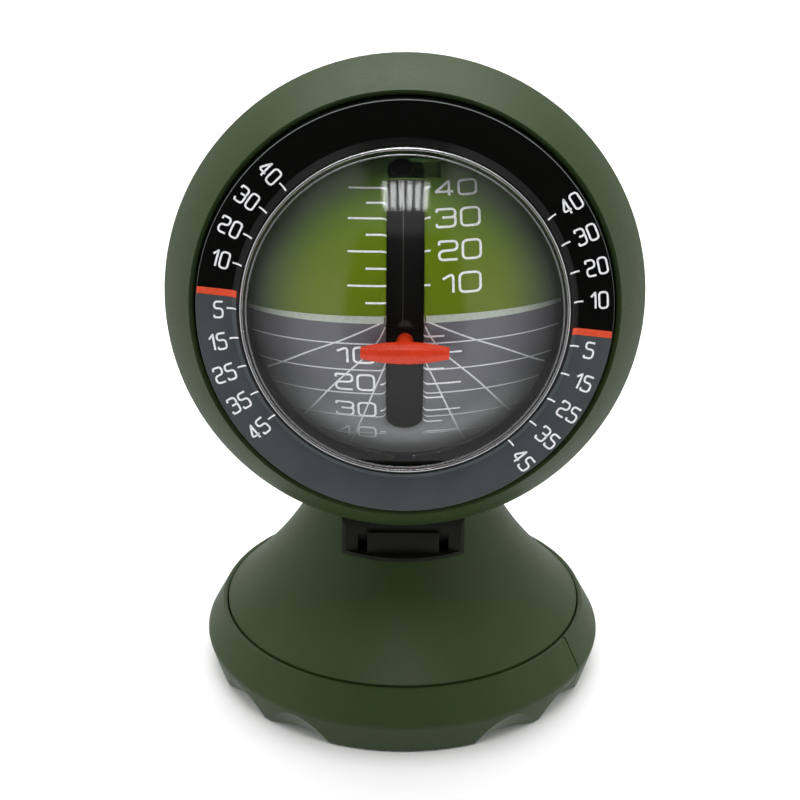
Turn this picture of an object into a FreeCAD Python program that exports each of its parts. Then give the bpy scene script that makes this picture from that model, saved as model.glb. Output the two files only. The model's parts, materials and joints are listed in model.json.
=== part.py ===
import FreeCAD, Part
import math
import os
import re
import Sketcher

# Dashboard inclinometer: a round head on a tilting neck and a swivelling cone base.
# Inside the head a weighted ball rolls about the head's own axis, and a weighted wheel
# inside that ball swings about a cross axis and carries the red pitch pointer.
# Millimetres. +Z is up, the face looks towards -Y, the origin is under the base's axis.
# Head pieces are drawn about the head's axis: local Z points out of the face, local Y up it.

# Each size that stands by itself is a number. What mates with another piece is a formula of
# the same sizes and a named step or clearance, and the sheet works it out.
SIZES = {
    # clearances
    "running_gap": (0.15, "between flat or wide faces that slide"),
    "shaft_gap": (0.05, "radial play of a turning shaft"),
    "overrun": (5.0, "how far a cut runs past the solid"),
    "blind_end": (0.4, "solid left over a blind screw hole in the socket"),
    "neck_blind_end": (0.2, "solid left over a blind screw hole in the neck plate"),
    "edge_tolerance": (0.01, "how near an edge lies to the place it is looked for"),
    # rolling ball
    "ball_radius": (27.7, "horizon cap"),
    "ball_wall": (1.5, "horizon cap wall"),
    "cap_half_angle": (58.0, "horizon cap, degrees from its middle"),
    "slot_width": (5.35, "pointer slot"),
    "slot_top": (44.5, "upper end of the slot, degrees"),
    "slot_bottom": (36.5, "centre of the slot's round lower end, degrees"),
    "slot_lip": (0.9, "rolled edge of the slot"),
    "bumper_radius": (1.6, "bumper"),
    "bumper_play": (0.05, "bumper in its recess"),
    "bumper_offset": (0.6, "bumper left of the middle"),
    "notch_right": (5.0, "right side of the bumper recess"),
    "notch_rise": ("(bumper_radius + bumper_play) * 2", "bumper recess along the slot"),
    "notch_angle": (48.2, "middle of the bumper recess, degrees"),
    "notch_depth": (0.9, "bumper recess"),
    "carrier_step": (0.5, "ball carrier below the cap's surface"),
    "carrier_radius": ("ball_radius - carrier_step", "ball carrier"),
    "carrier_wall": (1.4, "ball carrier wall"),
    "hub_radius": (3.5, "carrier hub"),
    "hub_rise": (1.6, "carrier hub behind the carrier"),
    "hub_back": ("carrier_radius + hub_rise", "rear end of the carrier hub"),
    "weight_front": (7.5, "front face of the roll weight, behind the ball centre"),
    "weight_back": (15.5, "rear face of the roll weight"),
    "weight_clearance": (0.96, "roll weight inside the housing wall"),
    "weight_angle": (80.0, "roll weight, degrees round the axis"),
    # swinging wheel
    "wheel_gap": (1.0, "pitch wheel inside the cap"),
    "wheel_radius": ("ball_radius - ball_wall - wheel_gap", "pitch wheel"),
    "wheel_width": (7.0, "pitch wheel rim"),
    "rim_thickness": (2.0, "pitch wheel rim"),
    "web_thickness": (1.6, "pitch wheel web"),
    "wheel_hub_radius": (3.5, "pitch wheel hub"),
    "wheel_hub_proud": (0.4, "pitch wheel hub past the rim, each side"),
    "wheel_hub_width": ("wheel_width + wheel_hub_proud * 2", "pitch wheel hub"),
    "ridge_left": (0.5, "near side of the rim ridge, left of the middle"),
    "ridge_width": (0.7, "rim ridge"),
    "ridge_rise": (0.3, "rim ridge"),
    "arm_play": (0.3, "carrier arm beside the wheel hub"),
    "arm_offset": ("wheel_hub_width / 2 + arm_play", "inner face of a carrier arm from the middle"),
    "arm_thickness": (2.0, "carrier arm"),
    "arm_radius": (4.0, "half width of a carrier arm"),
    "arm_root": (0.2, "arm's root square short of the carrier's inside"),
    "arm_back": ("carrier_radius - carrier_wall - arm_root", "root of the arms behind the ball centre"),
    "pitch_pin_radius": (0.8, "pitch pin"),
    "pitch_pin_proud": (0.2, "pitch pin past an arm"),
    "pitch_pin_length": ("(arm_offset + arm_thickness + pitch_pin_proud) * 2", "pitch pin"),
    "bob_inner": (12.0, "pitch weight inner radius"),
    "bob_thickness": (2.6, "pitch weight, each side of the web"),
    "bob_angle": (70.0, "pitch weight, degrees"),
    "bob_lag": (1.0, "pitch weight set back to balance the pointer, degrees"),
    "stem_radius": (1.3, "pointer stem"),
    "bar_length": (12.6, "pointer bar"),
    "bar_radius": (1.6, "pointer bar in the middle"),
    "bar_end_radius": (0.85, "pointer bar at its ends"),
    "bar_gap": (0.45, "pointer bar over the ball"),
    "bar_place": ("ball_radius + bar_gap + bar_radius", "pointer bar from the ball centre"),
    # roll axle, bush and the depth of the rear housing
    "axle_radius": (1.0, "roll axle"),
    "axle_clearance": (0.1, "roll axle behind the wheel's ridge"),
    "axle_front": ("wheel_radius + ridge_rise + axle_clearance", "front end of the roll axle"),
    "bush_wall": (1.35, "roll bush wall"),
    "bush_radius": ("axle_radius + shaft_gap + bush_wall", "roll bush"),
    "bush_length": (4.0, "roll bush"),
    "bush_boss_wall": (1.8, "boss round the roll bush"),
    "bush_seat_radius": ("bush_radius + bush_boss_wall", "boss round the roll bush"),
    "hub_gap": (0.2, "carrier hub to the roll bush"),
    "bush_seat_front": ("hub_back + hub_gap", "front of that boss, behind the ball centre"),
    "axle_setback": (0.2, "axle short of the bush's rear end"),
    "axle_back": ("bush_seat_front + bush_length - axle_setback", "rear end of the roll axle"),
    "housing_wall": (2.0, "housing wall"),
    "housing_depth": ("bush_seat_front + bush_length + housing_wall", "rear face behind the ball centre"),
    # lens dome over the ball and the pointer
    "dome_wall": (1.3, "lens wall"),
    "dome_clearance": (0.7, "pointer bar to the lens"),
    "dome_radius": ("bar_place + bar_radius + dome_clearance + dome_wall", "lens dome, concentric with the ball"),
    # radii outwards from the ball
    "ball_room": (4.3, "free room round the ball in the collar"),
    "collar_bore": ("ball_radius + ball_room", "inside of the collar"),
    "collar_wall": (1.5, "collar inside the bezel"),
    "collar_radius": ("collar_bore + collar_wall", "collar inside the bezel"),
    "collar_step": (2.3, "housing rim outside the collar"),
    "housing_radius": ("collar_radius + collar_step", "rear housing at its rim"),
    "bezel_back_radius": ("housing_radius", "rear edge of the bezel, flush with the housing"),
    "bezel_flare": (0.7, "bezel's widest line outside its rear edge"),
    "bezel_radius": ("bezel_back_radius + bezel_flare", "bezel at its widest"),
    "bezel_taper": (4.8, "bezel's front edge inside its widest line"),
    "bezel_front_radius": ("bezel_radius - bezel_taper", "front edge of the bezel"),
    "bezel_flank_curve": (45.0, "curve of the bezel flank"),
    "lip_width": (0.7, "bezel's front edge to its bore"),
    "lip_round": (0.9, "round of the inner lip"),
    "dial_gap": (0.2, "dial ring in the bezel"),
    "dial_radius": ("bezel_front_radius - lip_width - dial_gap", "dial ring"),
    "dial_width": (6.65, "dial ring's face"),
    "dial_inner_radius": ("dial_radius - dial_width", "inner edge of the dial ring"),
    "dial_bevel_width": (0.4, "bevel round the dial face"),
    "dial_lip": (1.05, "dial's raised inner lip"),
    "dial_foot": (1.2, "dial's foot"),
    "dial_foot_radius": ("dial_radius - dial_foot", "inner side of the dial's foot"),
    "dial_lip_width": (2.45, "thin inner part of the dial"),
    "dial_relief_radius": ("dial_inner_radius + dial_lip_width", "dial thickness starts to taper here"),
    "shelf_width": (1.4, "shelf under the dial's foot"),
    "shelf_bore": ("dial_radius - shelf_width", "shelf in the bezel"),
    "flange_width": (1.5, "lens flange under the shelf"),
    "lens_flange_radius": ("shelf_bore + flange_width", "lens flange"),
    "flange_play": (0.3, "lens flange in its bore"),
    "lens_bore": ("lens_flange_radius + flange_play", "bore behind the shelf"),
    "barrel_gap": (2.1, "lens barrel inside the shelf"),
    "lens_barrel_radius": ("shelf_bore - barrel_gap", "lens barrel under the dial"),
    "retainer_reach": (0.9, "retaining ring inside the shelf's bore"),
    "retainer_bore": ("shelf_bore - retainer_reach", "lens retaining ring"),
    # places along the head's axis, rearwards from where the dome passes the dial
    "dial_lift": (0.18, "dial's inner edge over the dome"),
    "dial_inner_edge": ("sqrt(dome_radius ^ 2 - dial_inner_radius ^ 2) + dial_lift",
                        "dial's inner lip ahead of the ball centre"),
    "dial_relief_gap": (0.33, "underside of the dial over the dome"),
    "dial_relief_place": ("sqrt(dome_radius ^ 2 - dial_relief_radius ^ 2) + dial_relief_gap",
                          "underside of the dial where its taper starts"),
    "dial_lip_rise": (0.98, "dial's inner lip over its flat face"),
    "dial_face": ("dial_inner_edge - dial_lip_rise", "flat face of the dial ahead of the ball centre"),
    "dial_bevel_drop": (2.3, "bevel round the dial face, along the axis"),
    "dial_edge": ("dial_face - dial_bevel_drop", "lower edge of that bevel ahead of the ball centre"),
    "lip_rise": (0.5, "bezel's front edge over the dial's outer edge"),
    "bezel_front": ("dial_edge + lip_rise", "front edge of the bezel"),
    "dial_rim": (1.6, "outer wall of the dial ring"),
    "dial_seat": ("dial_edge - dial_rim", "shelf under the dial"),
    "shelf_thickness": (1.2, "shelf in the bezel"),
    "seal_thickness": (0.5, "lens seal"),
    "lens_flange": (1.3, "lens flange"),
    "retainer_width": (1.2, "lens retaining ring"),
    "retainer_recess": (0.1, "retaining ring inside the rear end of its bore"),
    "lens_bore_back": ("dial_seat - shelf_thickness - seal_thickness - lens_flange - retainer_width"
                       " - retainer_recess", "rear end of the lens bore"),
    "collar_gap": (0.3, "collar to the bezel's inner step"),
    "collar_front": ("lens_bore_back - collar_gap", "front of the collar"),
    "collar_length": (3.85, "collar ahead of the housing rim"),
    "housing_rim": ("collar_front - collar_length", "rim ahead of the ball centre"),
    "bezel_bevel": (1.4, "bezel's rear edge to its widest line"),
    "bezel_wide_place": ("housing_rim + running_gap + bezel_bevel", "widest line ahead of the ball centre"),
    "bead_rise": (0.45, "snap bead on the collar"),
    "bead_length": (0.9, "snap bead along the axis"),
    "ring_seat_depth": (0.6, "friction ring groove"),
    "ring_seat_inset": (0.75, "friction ring groove ahead of the rim"),
    "ring_seat_back": ("housing_rim + ring_seat_inset", "rear side of the friction ring groove"),
    "ring_width": (1.4, "friction ring"),
    "rear_face_radius": (10.0, "flat rear face"),
    "housing_chord": ("sqrt((housing_radius - rear_face_radius) ^ 2 + (housing_depth + housing_rim) ^ 2)",
                      "rear face edge to rim"),
    "wall_room": (5.9, "housing wall outside the ball carrier"),
    "housing_bulge": ("carrier_radius + wall_room - ((rear_face_radius + housing_radius)"
                      " * (housing_depth + housing_rim) + (housing_depth - housing_rim)"
                      " * (housing_radius - rear_face_radius)) / (housing_chord * 2)",
                      "height of the housing wall's curve over its chord"),
    "housing_curve": ("(housing_chord ^ 2 / 4 + housing_bulge ^ 2) / (housing_bulge * 2)",
                      "curve of the housing wall"),
    "housing_centre_across": ("(rear_face_radius + housing_radius) / 2 - (housing_curve - housing_bulge)"
                              " * (housing_depth + housing_rim) / housing_chord",
                              "centre of that curve from the head axis"),
    "housing_centre_along": ("(housing_rim - housing_depth) / 2 + (housing_curve - housing_bulge)"
                             " * (housing_radius - rear_face_radius) / housing_chord",
                             "centre of that curve ahead of the ball centre"),
    "housing_inner_curve": ("housing_curve - housing_wall", "inner curve of the housing wall"),
    # hinge
    "rest_tilt": (8.5, "how far the face leans back at rest, degrees"),
    "hinge_forward": (11.4, "hinge pin ahead of the base axis"),
    "hinge_height": (31.2, "hinge pin above the ground"),
    "pin_radius": (1.4, "hinge pin"),
    "knuckle_radius": (3.8, "neck knuckle"),
    "knuckle_width": (11.7, "neck knuckle"),
    "knuckle_play": (0.2, "knuckle over the socket's floor"),
    "hinge_play": (0.05, "knuckle to friction washer"),
    "hinge_washer": (1.5, "friction washer"),
    "ear_gap": ("knuckle_width + (hinge_play + hinge_washer) * 2", "clear width between the ears"),
    "ear_width": (2.6, "hinge ear"),
    "ear_radius": (3.8, "rounded top of an ear"),
    "socket_width": ("ear_gap + ear_width * 2", "hinge socket across both ears"),
    "socket_floor": (0.6, "floor of the hinge socket"),
    "socket_fit": (0.05, "socket in its window, each side"),
    "wing_rise": (3.0, "low rear part of the ears above the seat"),
    "seat_height": ("hinge_height - knuckle_radius - knuckle_play - socket_floor",
                    "seat of the hinge socket above the ground"),
    "neck_front": (2.5, "neck plate ahead of the pin"),
    "neck_lift": (0.09, "flat for the neck over the housing wall at the plate's front"),
    "neck_pad": ("housing_centre_across + sqrt(housing_curve ^ 2 - (neck_front - housing_centre_along) ^ 2)"
                 " + neck_lift", "flat on the housing that seats the neck, from the head axis"),
    "knuckle_gap": (0.1, "knuckle under that flat"),
    "neck_reach": ("neck_pad + knuckle_gap + knuckle_radius", "hinge pin to the head axis"),
    "neck_plate": (2.0, "neck plate thickness"),
    "neck_back": (8.5, "neck plate behind the pin"),
    "neck_screw_spread": (3.2, "neck screws from the middle"),
    "neck_screw_back": (5.4, "neck screws behind the pin"),
    "neck_screw_radius": (0.9, "neck screw shank"),
    "neck_screw_head_radius": (1.6, "neck screw head"),
    "neck_screw_head_rise": (0.9, "neck screw head"),
    "neck_boss_proud": (0.54, "screw pad past the housing's inner wall behind the screw heads"),
    "neck_boss_rise": ("housing_centre_across + sqrt(housing_inner_curve ^ 2 - (neck_screw_back"
                       " + neck_screw_head_radius + housing_centre_along) ^ 2) - neck_boss_proud",
                       "inner face of the screw pad, from the head axis"),
    "neck_boss_margin": (0.8, "screw pad past the neck plate"),
    # base cone
    "cone_rim_radius": (30.5, "cone at its lower edge"),
    "cone_rim_drop": (2.8, "cone wall below the flank"),
    "cone_crown_radius": (14.6, "cone at its top"),
    "crown_rise": (1.2, "top of the cone over the hinge pin"),
    "cone_crown_height": ("hinge_height + crown_rise", "top of the cone"),
    "cone_flank_radius": (66.0, "hollow curve of the flank"),
    "cone_wall": (2.0, "cone wall"),
    "crown_round": (1.0, "round on the top edge"),
    "cavity_spread": (2.4, "cone cavity past the crown, under the hinge seat"),
    "cavity_radius": ("cone_crown_radius + cavity_spread", "cone cavity under the hinge seat"),
    "seat_thickness": (2.0, "seat under the hinge socket"),
    "window_back": (6.0, "rear end of the hinge window behind the base axis"),
    "boss_count": (3, "screw bosses in the cone"),
    "boss_inset": (9.0, "boss centres inside the cone's lower edge"),
    "boss_place": ("cone_rim_radius - boss_inset", "boss centres from the base axis"),
    "boss_radius": (2.6, "screw boss"),
    "boss_seat": ("boss_radius / 2", "boss top meets the cavity wall this far outside the boss centre"),
    "boss_screw_radius": (1.1, "cone screw shank"),
    "boss_screw_grip": (6.0, "cone screw in its boss"),
    "boss_screw_head_radius": (1.9, "cone screw head"),
    "boss_screw_head_rise": (1.2, "cone screw head"),
    # adhesive pad, base plate and swivel
    "plate_inset": (1.5, "base plate inside the cone's lower edge"),
    "plate_radius": ("cone_rim_radius - plate_inset", "base plate"),
    "plate_thickness": (2.0, "base plate"),
    "pad_inset": (1.5, "foam pad inside the base plate"),
    "pad_radius": ("plate_radius - pad_inset", "foam pad"),
    "pad_thickness": (1.0, "foam pad"),
    "disc_gap": (0.9, "swivel disc inside the cone wall"),
    "disc_radius": ("cone_rim_radius - cone_wall - disc_gap", "swivel disc"),
    "disc_thickness": (2.0, "swivel disc"),
    "track_inset": (2.1, "middle of the track inside the disc's edge"),
    "track_radius": ("disc_radius - track_inset", "middle of the raised track"),
    "track_width": (2.4, "raised track"),
    "track_rise": (2.2, "raised track above the plate"),
    "spigot_radius": (5.0, "base plate spigot that the cone turns on"),
    "washer_reach": (3.5, "swivel washer past the spigot"),
    "washer_radius": ("spigot_radius + washer_reach", "swivel washer"),
    "washer_thickness": (0.8, "swivel washer"),
    "pivot_radius": (1.25, "swivel screw shank"),
    "pivot_grip": (4.2, "swivel screw length in the spigot"),
    "pivot_head_radius": (2.6, "swivel screw head"),
    "pivot_head_rise": (1.6, "swivel screw head"),
    # scalloped skirt ring
    "groove_width": (0.45, "gap between the cone and the skirt"),
    "skirt_lift": (0.3, "skirt above the ground"),
    "skirt_foot": (3.7, "skirt's lower edge outside the base plate"),
    "skirt_foot_radius": ("plate_radius + skirt_foot", "skirt at its lower edge"),
    "skirt_flare": (1.6, "skirt's widest line outside its lower edge"),
    "skirt_wide_radius": ("skirt_foot_radius + skirt_flare", "skirt at its widest"),
    "skirt_wide_height": (5.8, "height of the widest line"),
    "skirt_top_height": (11.1, "top of the skirt"),
    "skirt_land": (0.5, "flat top of the skirt wall"),
    "skirt_crease_round": (1.4, "round on the widest line"),
    "cone_step": (0.2, "flank's lower edge over the skirt"),
    "cone_rim_height": ("skirt_top_height + cone_step", "lower edge of the flank"),
    "scoop_count": (14, "thumb scoops round the skirt"),
    "scoop_free": (40, "plain front of the skirt, degrees"),
    "scoop_radius": (16.0, "hollow of a scoop"),
    "scoop_depth": (1.9, "depth of a scoop at the lower edge"),
    "scoop_lean": (36.0, "lean of a scoop, degrees"),
    "seam_angle": (60, "split in the skirt, degrees from the front to the right"),
    "seam_width": (0.3, "split in the skirt"),
    "socket_proud": (0.15, "socket's front past the cone's flank at the seat"),
}

# Shares of an edge's length where its place is tested, and of the cap's reach that a slot edge keeps within.
EDGE_SHARES = (0.1, 0.5, 0.9)
SLOT_REACH_SHARE = 0.9

NAME = re.compile(r"[a-z_]+")
doc = FreeCAD.newDocument("Inclinometer")
pieces = {}


def make_sheet():
    """Write every size in the document's sheet, the derived ones as formulas."""
    sheet = doc.addObject("Spreadsheet::Sheet", "Sizes")
    sheet.set("A1", "size")
    sheet.set("B1", "value")
    sheet.set("C1", "what it is")
    for row, name in enumerate(SIZES, start=2):
        sheet.set("A%d" % row, name)
        sheet.setAlias("B%d" % row, name)
    for row, (value, note) in enumerate(SIZES.values(), start=2):
        sheet.set("B%d" % row, "=" + value if isinstance(value, str) else str(value))
        sheet.set("C%d" % row, note)
    doc.recompute()
    return sheet


SHEET = make_sheet()


def bind(expression):
    """Point each size in an expression at its cell in the sheet."""
    return NAME.sub(lambda word: "Sizes." + word.group() if word.group() in SIZES else word.group(), expression)


def value_of(expression):
    """The number that an expression of sizes comes to."""
    result = SHEET.evalExpression(bind(expression))
    return float(getattr(result, "Value", result))


def keep(piece, name):
    """Name a finished piece after its node."""
    piece.Label = name
    pieces[name] = piece
    return piece


def body_of(name):
    """Start a body for one piece."""
    return doc.addObject("PartDesign::Body", name + "_body")


def origin_part(body, role):
    """An axis or plane of a body's own origin."""
    return [item for item in body.Origin.OriginFeatures if item.Role == role][0]


def sketch_on(body, role, name, offset=None, turn=None):
    """A sketch on an origin plane, moved along its normal by offset or turned by turn (axis, expression)."""
    sketch = body.newObject("Sketcher::SketchObject", name)
    sketch.AttachmentSupport = (origin_part(body, role), [""])
    sketch.MapMode = "FlatFace"
    if offset:
        sketch.setExpression("AttachmentOffset.Base.z", bind(offset))
    if turn:
        sketch.AttachmentOffset = FreeCAD.Placement(FreeCAD.Vector(), FreeCAD.Rotation(turn[0], 1))
        sketch.setExpression("AttachmentOffset.Rotation.Angle", bind(turn[1]))
    return sketch


def hold(sketch, geometry, point, axis, expression):
    """Tie one coordinate of a sketch point to the sheet."""
    if expression == "0":
        line = -2 if axis == "X" else -1
        sketch.addConstraint(Sketcher.Constraint("PointOnObject", geometry, point, line))
        return
    index = sketch.addConstraint(
        Sketcher.Constraint("Distance" + axis, geometry, point, value_of(expression)))
    sketch.setExpression("Constraints[%d]" % index, bind(expression))


def draw(sketch, corners, arcs=None):
    """Close an outline through corners, each a pair of expressions.

    arcs maps a side, counted from its first corner, to the radius of its arc and the
    hand it bulges to: 1 for left of the way the outline runs, -1 for right.
    """
    arcs = arcs or {}
    places = [FreeCAD.Vector(value_of(across), value_of(up), 0) for across, up in corners]
    sides = []
    for side, start in enumerate(places):
        end = places[(side + 1) % len(places)]
        if side not in arcs:
            sides.append(sketch.addGeometry(Part.LineSegment(start, end)))
            continue
        radius, hand = arcs[side]
        half = (end - start) / 2
        reach = value_of(radius)
        rise = reach - math.sqrt(max(reach ** 2 - half.Length ** 2, 0))
        left = FreeCAD.Vector(-half.y, half.x, 0).normalize()
        middle = start + half + left * (hand * rise)
        sides.append(sketch.addGeometry(Part.Arc(start, middle, end)))

    def end_nearest(side, place):
        first = (sketch.getPoint(side, 1) - place).Length
        last = (sketch.getPoint(side, 2) - place).Length
        return 1 if first < last else 2

    for corner, place in enumerate(places):
        before = sides[corner - 1]
        after = sides[corner]
        end_before = end_nearest(before, place)
        end_after = end_nearest(after, place)
        sketch.addConstraint(Sketcher.Constraint("Coincident", before, end_before, after, end_after))
        hold(sketch, after, end_after, "X", corners[corner][0])
        hold(sketch, after, end_after, "Y", corners[corner][1])
    for side, (radius, hand) in arcs.items():
        index = sketch.addConstraint(Sketcher.Constraint("Radius", sides[side], value_of(radius)))
        sketch.setExpression("Constraints[%d]" % index, bind(radius))


def ring(sketch, across, up, radius):
    """Draw a full circle whose centre and radius are bound to the sheet."""
    centre = FreeCAD.Vector(value_of(across), value_of(up), 0)
    circle = sketch.addGeometry(Part.Circle(centre, FreeCAD.Vector(0, 0, 1), value_of(radius)))
    index = sketch.addConstraint(Sketcher.Constraint("Radius", circle, value_of(radius)))
    sketch.setExpression("Constraints[%d]" % index, bind(radius))
    if across == up == "0":
        sketch.addConstraint(Sketcher.Constraint("Coincident", circle, 3, -1, 1))
        return
    hold(sketch, circle, 3, "X", across)
    hold(sketch, circle, 3, "Y", up)


def centre_line(sketch, start, end):
    """Add a construction line between two places as the sketch's own axis."""
    line = sketch.addGeometry(Part.LineSegment(
        FreeCAD.Vector(value_of(start[0]), value_of(start[1]), 0),
        FreeCAD.Vector(value_of(end[0]), value_of(end[1]), 0)))
    sketch.setConstruction(line, True)
    for point, place in ((1, start), (2, end)):
        hold(sketch, line, point, "X", place[0])
        hold(sketch, line, point, "Y", place[1])


def turned(body, sketch, name, kind="Revolution", axis="V_Axis", angle="360", midplane=False, reverse=False):
    """Revolve a sketch about one of its own axes, or cut that shape away with a Groove."""
    feature = body.newObject("PartDesign::" + kind, name)
    feature.Profile = sketch
    feature.ReferenceAxis = (sketch, [axis])
    feature.Midplane = midplane
    feature.Reversed = reverse
    feature.setExpression("Angle", bind(angle))
    sketch.Visibility = False
    return feature


def raised(body, sketch, name, length, kind="Pad", midplane=False, reverse=False):
    """Pad a sketch, or cut it away with a Pocket."""
    feature = body.newObject("PartDesign::" + kind, name)
    feature.Profile = sketch
    feature.Midplane = midplane
    feature.Reversed = reverse
    feature.setExpression("Length", bind(length))
    sketch.Visibility = False
    return feature


def patterned(body, feature, name, count, spread="360"):
    """Repeat a feature evenly round the body's Z axis, over the given spread."""
    pattern = body.newObject("PartDesign::PolarPattern", name)
    pattern.Originals = [feature]
    pattern.Axis = (origin_part(body, "Z_Axis"), [""])
    pattern.setExpression("Angle", bind(spread))
    pattern.setExpression("Occurrences", bind(count))
    body.Tip = pattern
    return pattern


def softened(body, feature, name, radius, wanted):
    """Round the edges of a feature for which wanted is true."""
    doc.recompute()
    names = ["Edge%d" % (place + 1) for place, edge in enumerate(feature.Shape.Edges) if wanted(edge)]
    fillet = body.newObject("PartDesign::Fillet", name)
    fillet.Base = (feature, names)
    fillet.setExpression("Radius", bind(radius))
    return fillet


def circle_edge(radius, height):
    """A test for the full circle of a given radius and height about the Z axis."""
    def matches(edge):
        curve = edge.Curve
        if not isinstance(curve, Part.Circle):
            return False
        near = value_of("edge_tolerance")
        return (abs(curve.Radius - value_of(radius)) < near
                and abs(curve.Center.z - value_of(height)) < near
                and abs(curve.Center.x) < near)
    return matches


HEAD_FORWARD = "hinge_forward - neck_reach * sin(rest_tilt)"
HEAD_HEIGHT = "hinge_height + neck_reach * cos(rest_tilt)"


def set_on_head(piece, level=False):
    """Place a piece on the head's axis, or level on the ball's centre."""
    lean = "90" if level else "90 - rest_tilt"
    piece.Placement = FreeCAD.Placement(FreeCAD.Vector(), FreeCAD.Rotation(FreeCAD.Vector(1, 0, 0), 1))
    piece.setExpression(".Placement.Base.y", bind("-(" + HEAD_FORWARD + ")"))
    piece.setExpression(".Placement.Base.z", bind(HEAD_HEIGHT))
    piece.setExpression(".Placement.Rotation.Angle", bind(lean))
    return piece


def turned_piece(name, corners, arcs=None, on_head=False, level=False):
    """A piece of one revolved outline."""
    body = body_of(name)
    sketch = sketch_on(body, "XZ_Plane", name + "_profile")
    draw(sketch, corners, arcs)
    turned(body, sketch, name + "_turning")
    if on_head or level:
        set_on_head(body, level)
    return keep(body, name)


def cylinder(name, radius, height, base, axis=(0, 0, 1), lean="0"):
    """A plain cylinder from base (three expressions) along an axis, or along Z leaned about X."""
    solid = doc.addObject("Part::Cylinder", name)
    if lean != "0":
        solid.Placement = FreeCAD.Placement(FreeCAD.Vector(), FreeCAD.Rotation(FreeCAD.Vector(1, 0, 0), 1))
        solid.setExpression(".Placement.Rotation.Angle", bind(lean))
    else:
        turn = FreeCAD.Rotation(FreeCAD.Vector(0, 0, 1), FreeCAD.Vector(*axis))
        solid.Placement = FreeCAD.Placement(FreeCAD.Vector(), turn)
    solid.setExpression("Radius", bind(radius))
    solid.setExpression("Height", bind(height))
    for letter, place in zip("xyz", base):
        solid.setExpression(".Placement.Base." + letter, bind(place))
    return solid


def screw(name, base, shank_radius, shank_length, head_radius, head_rise, axis=(0, 0, 1), lean="0"):
    """A screw whose shank starts at base and runs along its axis, with the head behind base."""
    shank = cylinder(name + "_shank", shank_radius, shank_length, base, axis, lean)
    head = cylinder(name + "_head", head_radius, head_rise, base, axis, lean)
    if lean != "0":
        drop = bind(head_rise)
        angle = bind(lean)
        head.setExpression(".Placement.Base.y", "(%s) + (%s) * sin(%s)" % (bind(base[1]), drop, angle))
        head.setExpression(".Placement.Base.z", "(%s) - (%s) * cos(%s)" % (bind(base[2]), drop, angle))
    else:
        for letter, place, way in zip("xyz", base, axis):
            if way:
                head.setExpression(".Placement.Base." + letter, bind("%s - (%s) * %d" % (place, head_rise, way)))
    whole = doc.addObject("Part::Fuse", name)
    whole.Base = shank
    whole.Tool = head
    return whole


def group(name, members):
    """Several equal solids that share one node."""
    compound = doc.addObject("Part::Compound", name + "_group")
    compound.Links = members
    return keep(compound, name)


# Foot: adhesive pad, base plate, swivel screw and washer, scalloped skirt ring.

PLATE_TOP = "pad_thickness + plate_thickness"
DISC_BOTTOM = PLATE_TOP + " + track_rise + running_gap"
DISC_TOP = DISC_BOTTOM + " + disc_thickness"
SPIGOT_TOP = DISC_TOP + " + running_gap"


def make_adhesive_pad():
    """Foam pad that sticks the foot to a dashboard."""
    pad = cylinder("pad_disc", "pad_radius", "pad_thickness", ("0", "0", "0"))
    return keep(pad, "adhesive_pad")


def make_base_plate():
    """Round plate with the track that the swivel disc slides on and the spigot it turns on."""
    return turned_piece("base_plate", [
        ("0", "pad_thickness"),
        ("plate_radius", "pad_thickness"),
        ("plate_radius", PLATE_TOP),
        ("track_radius + track_width / 2", PLATE_TOP),
        ("track_radius + track_width / 2", PLATE_TOP + " + track_rise"),
        ("track_radius - track_width / 2", PLATE_TOP + " + track_rise"),
        ("track_radius - track_width / 2", PLATE_TOP),
        ("spigot_radius", PLATE_TOP),
        ("spigot_radius", SPIGOT_TOP),
        ("pivot_radius", SPIGOT_TOP),
        ("pivot_radius", SPIGOT_TOP + " - pivot_grip"),
        ("0", SPIGOT_TOP + " - pivot_grip"),
    ])


def make_swivel_washer():
    """Washer on the spigot that keeps the swivel disc down."""
    return turned_piece("swivel_washer", [
        ("pivot_radius", SPIGOT_TOP),
        ("washer_radius", SPIGOT_TOP),
        ("washer_radius", SPIGOT_TOP + " + washer_thickness"),
        ("pivot_radius", SPIGOT_TOP + " + washer_thickness"),
    ])


def make_swivel_screw():
    """Screw that holds the washer on the spigot."""
    return turned_piece("swivel_screw", [
        ("0", SPIGOT_TOP + " - pivot_grip"),
        ("pivot_radius", SPIGOT_TOP + " - pivot_grip"),
        ("pivot_radius", SPIGOT_TOP + " + washer_thickness"),
        ("pivot_head_radius", SPIGOT_TOP + " + washer_thickness"),
        ("pivot_head_radius", SPIGOT_TOP + " + washer_thickness + pivot_head_rise"),
        ("0", SPIGOT_TOP + " + washer_thickness + pivot_head_rise"),
    ])


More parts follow.
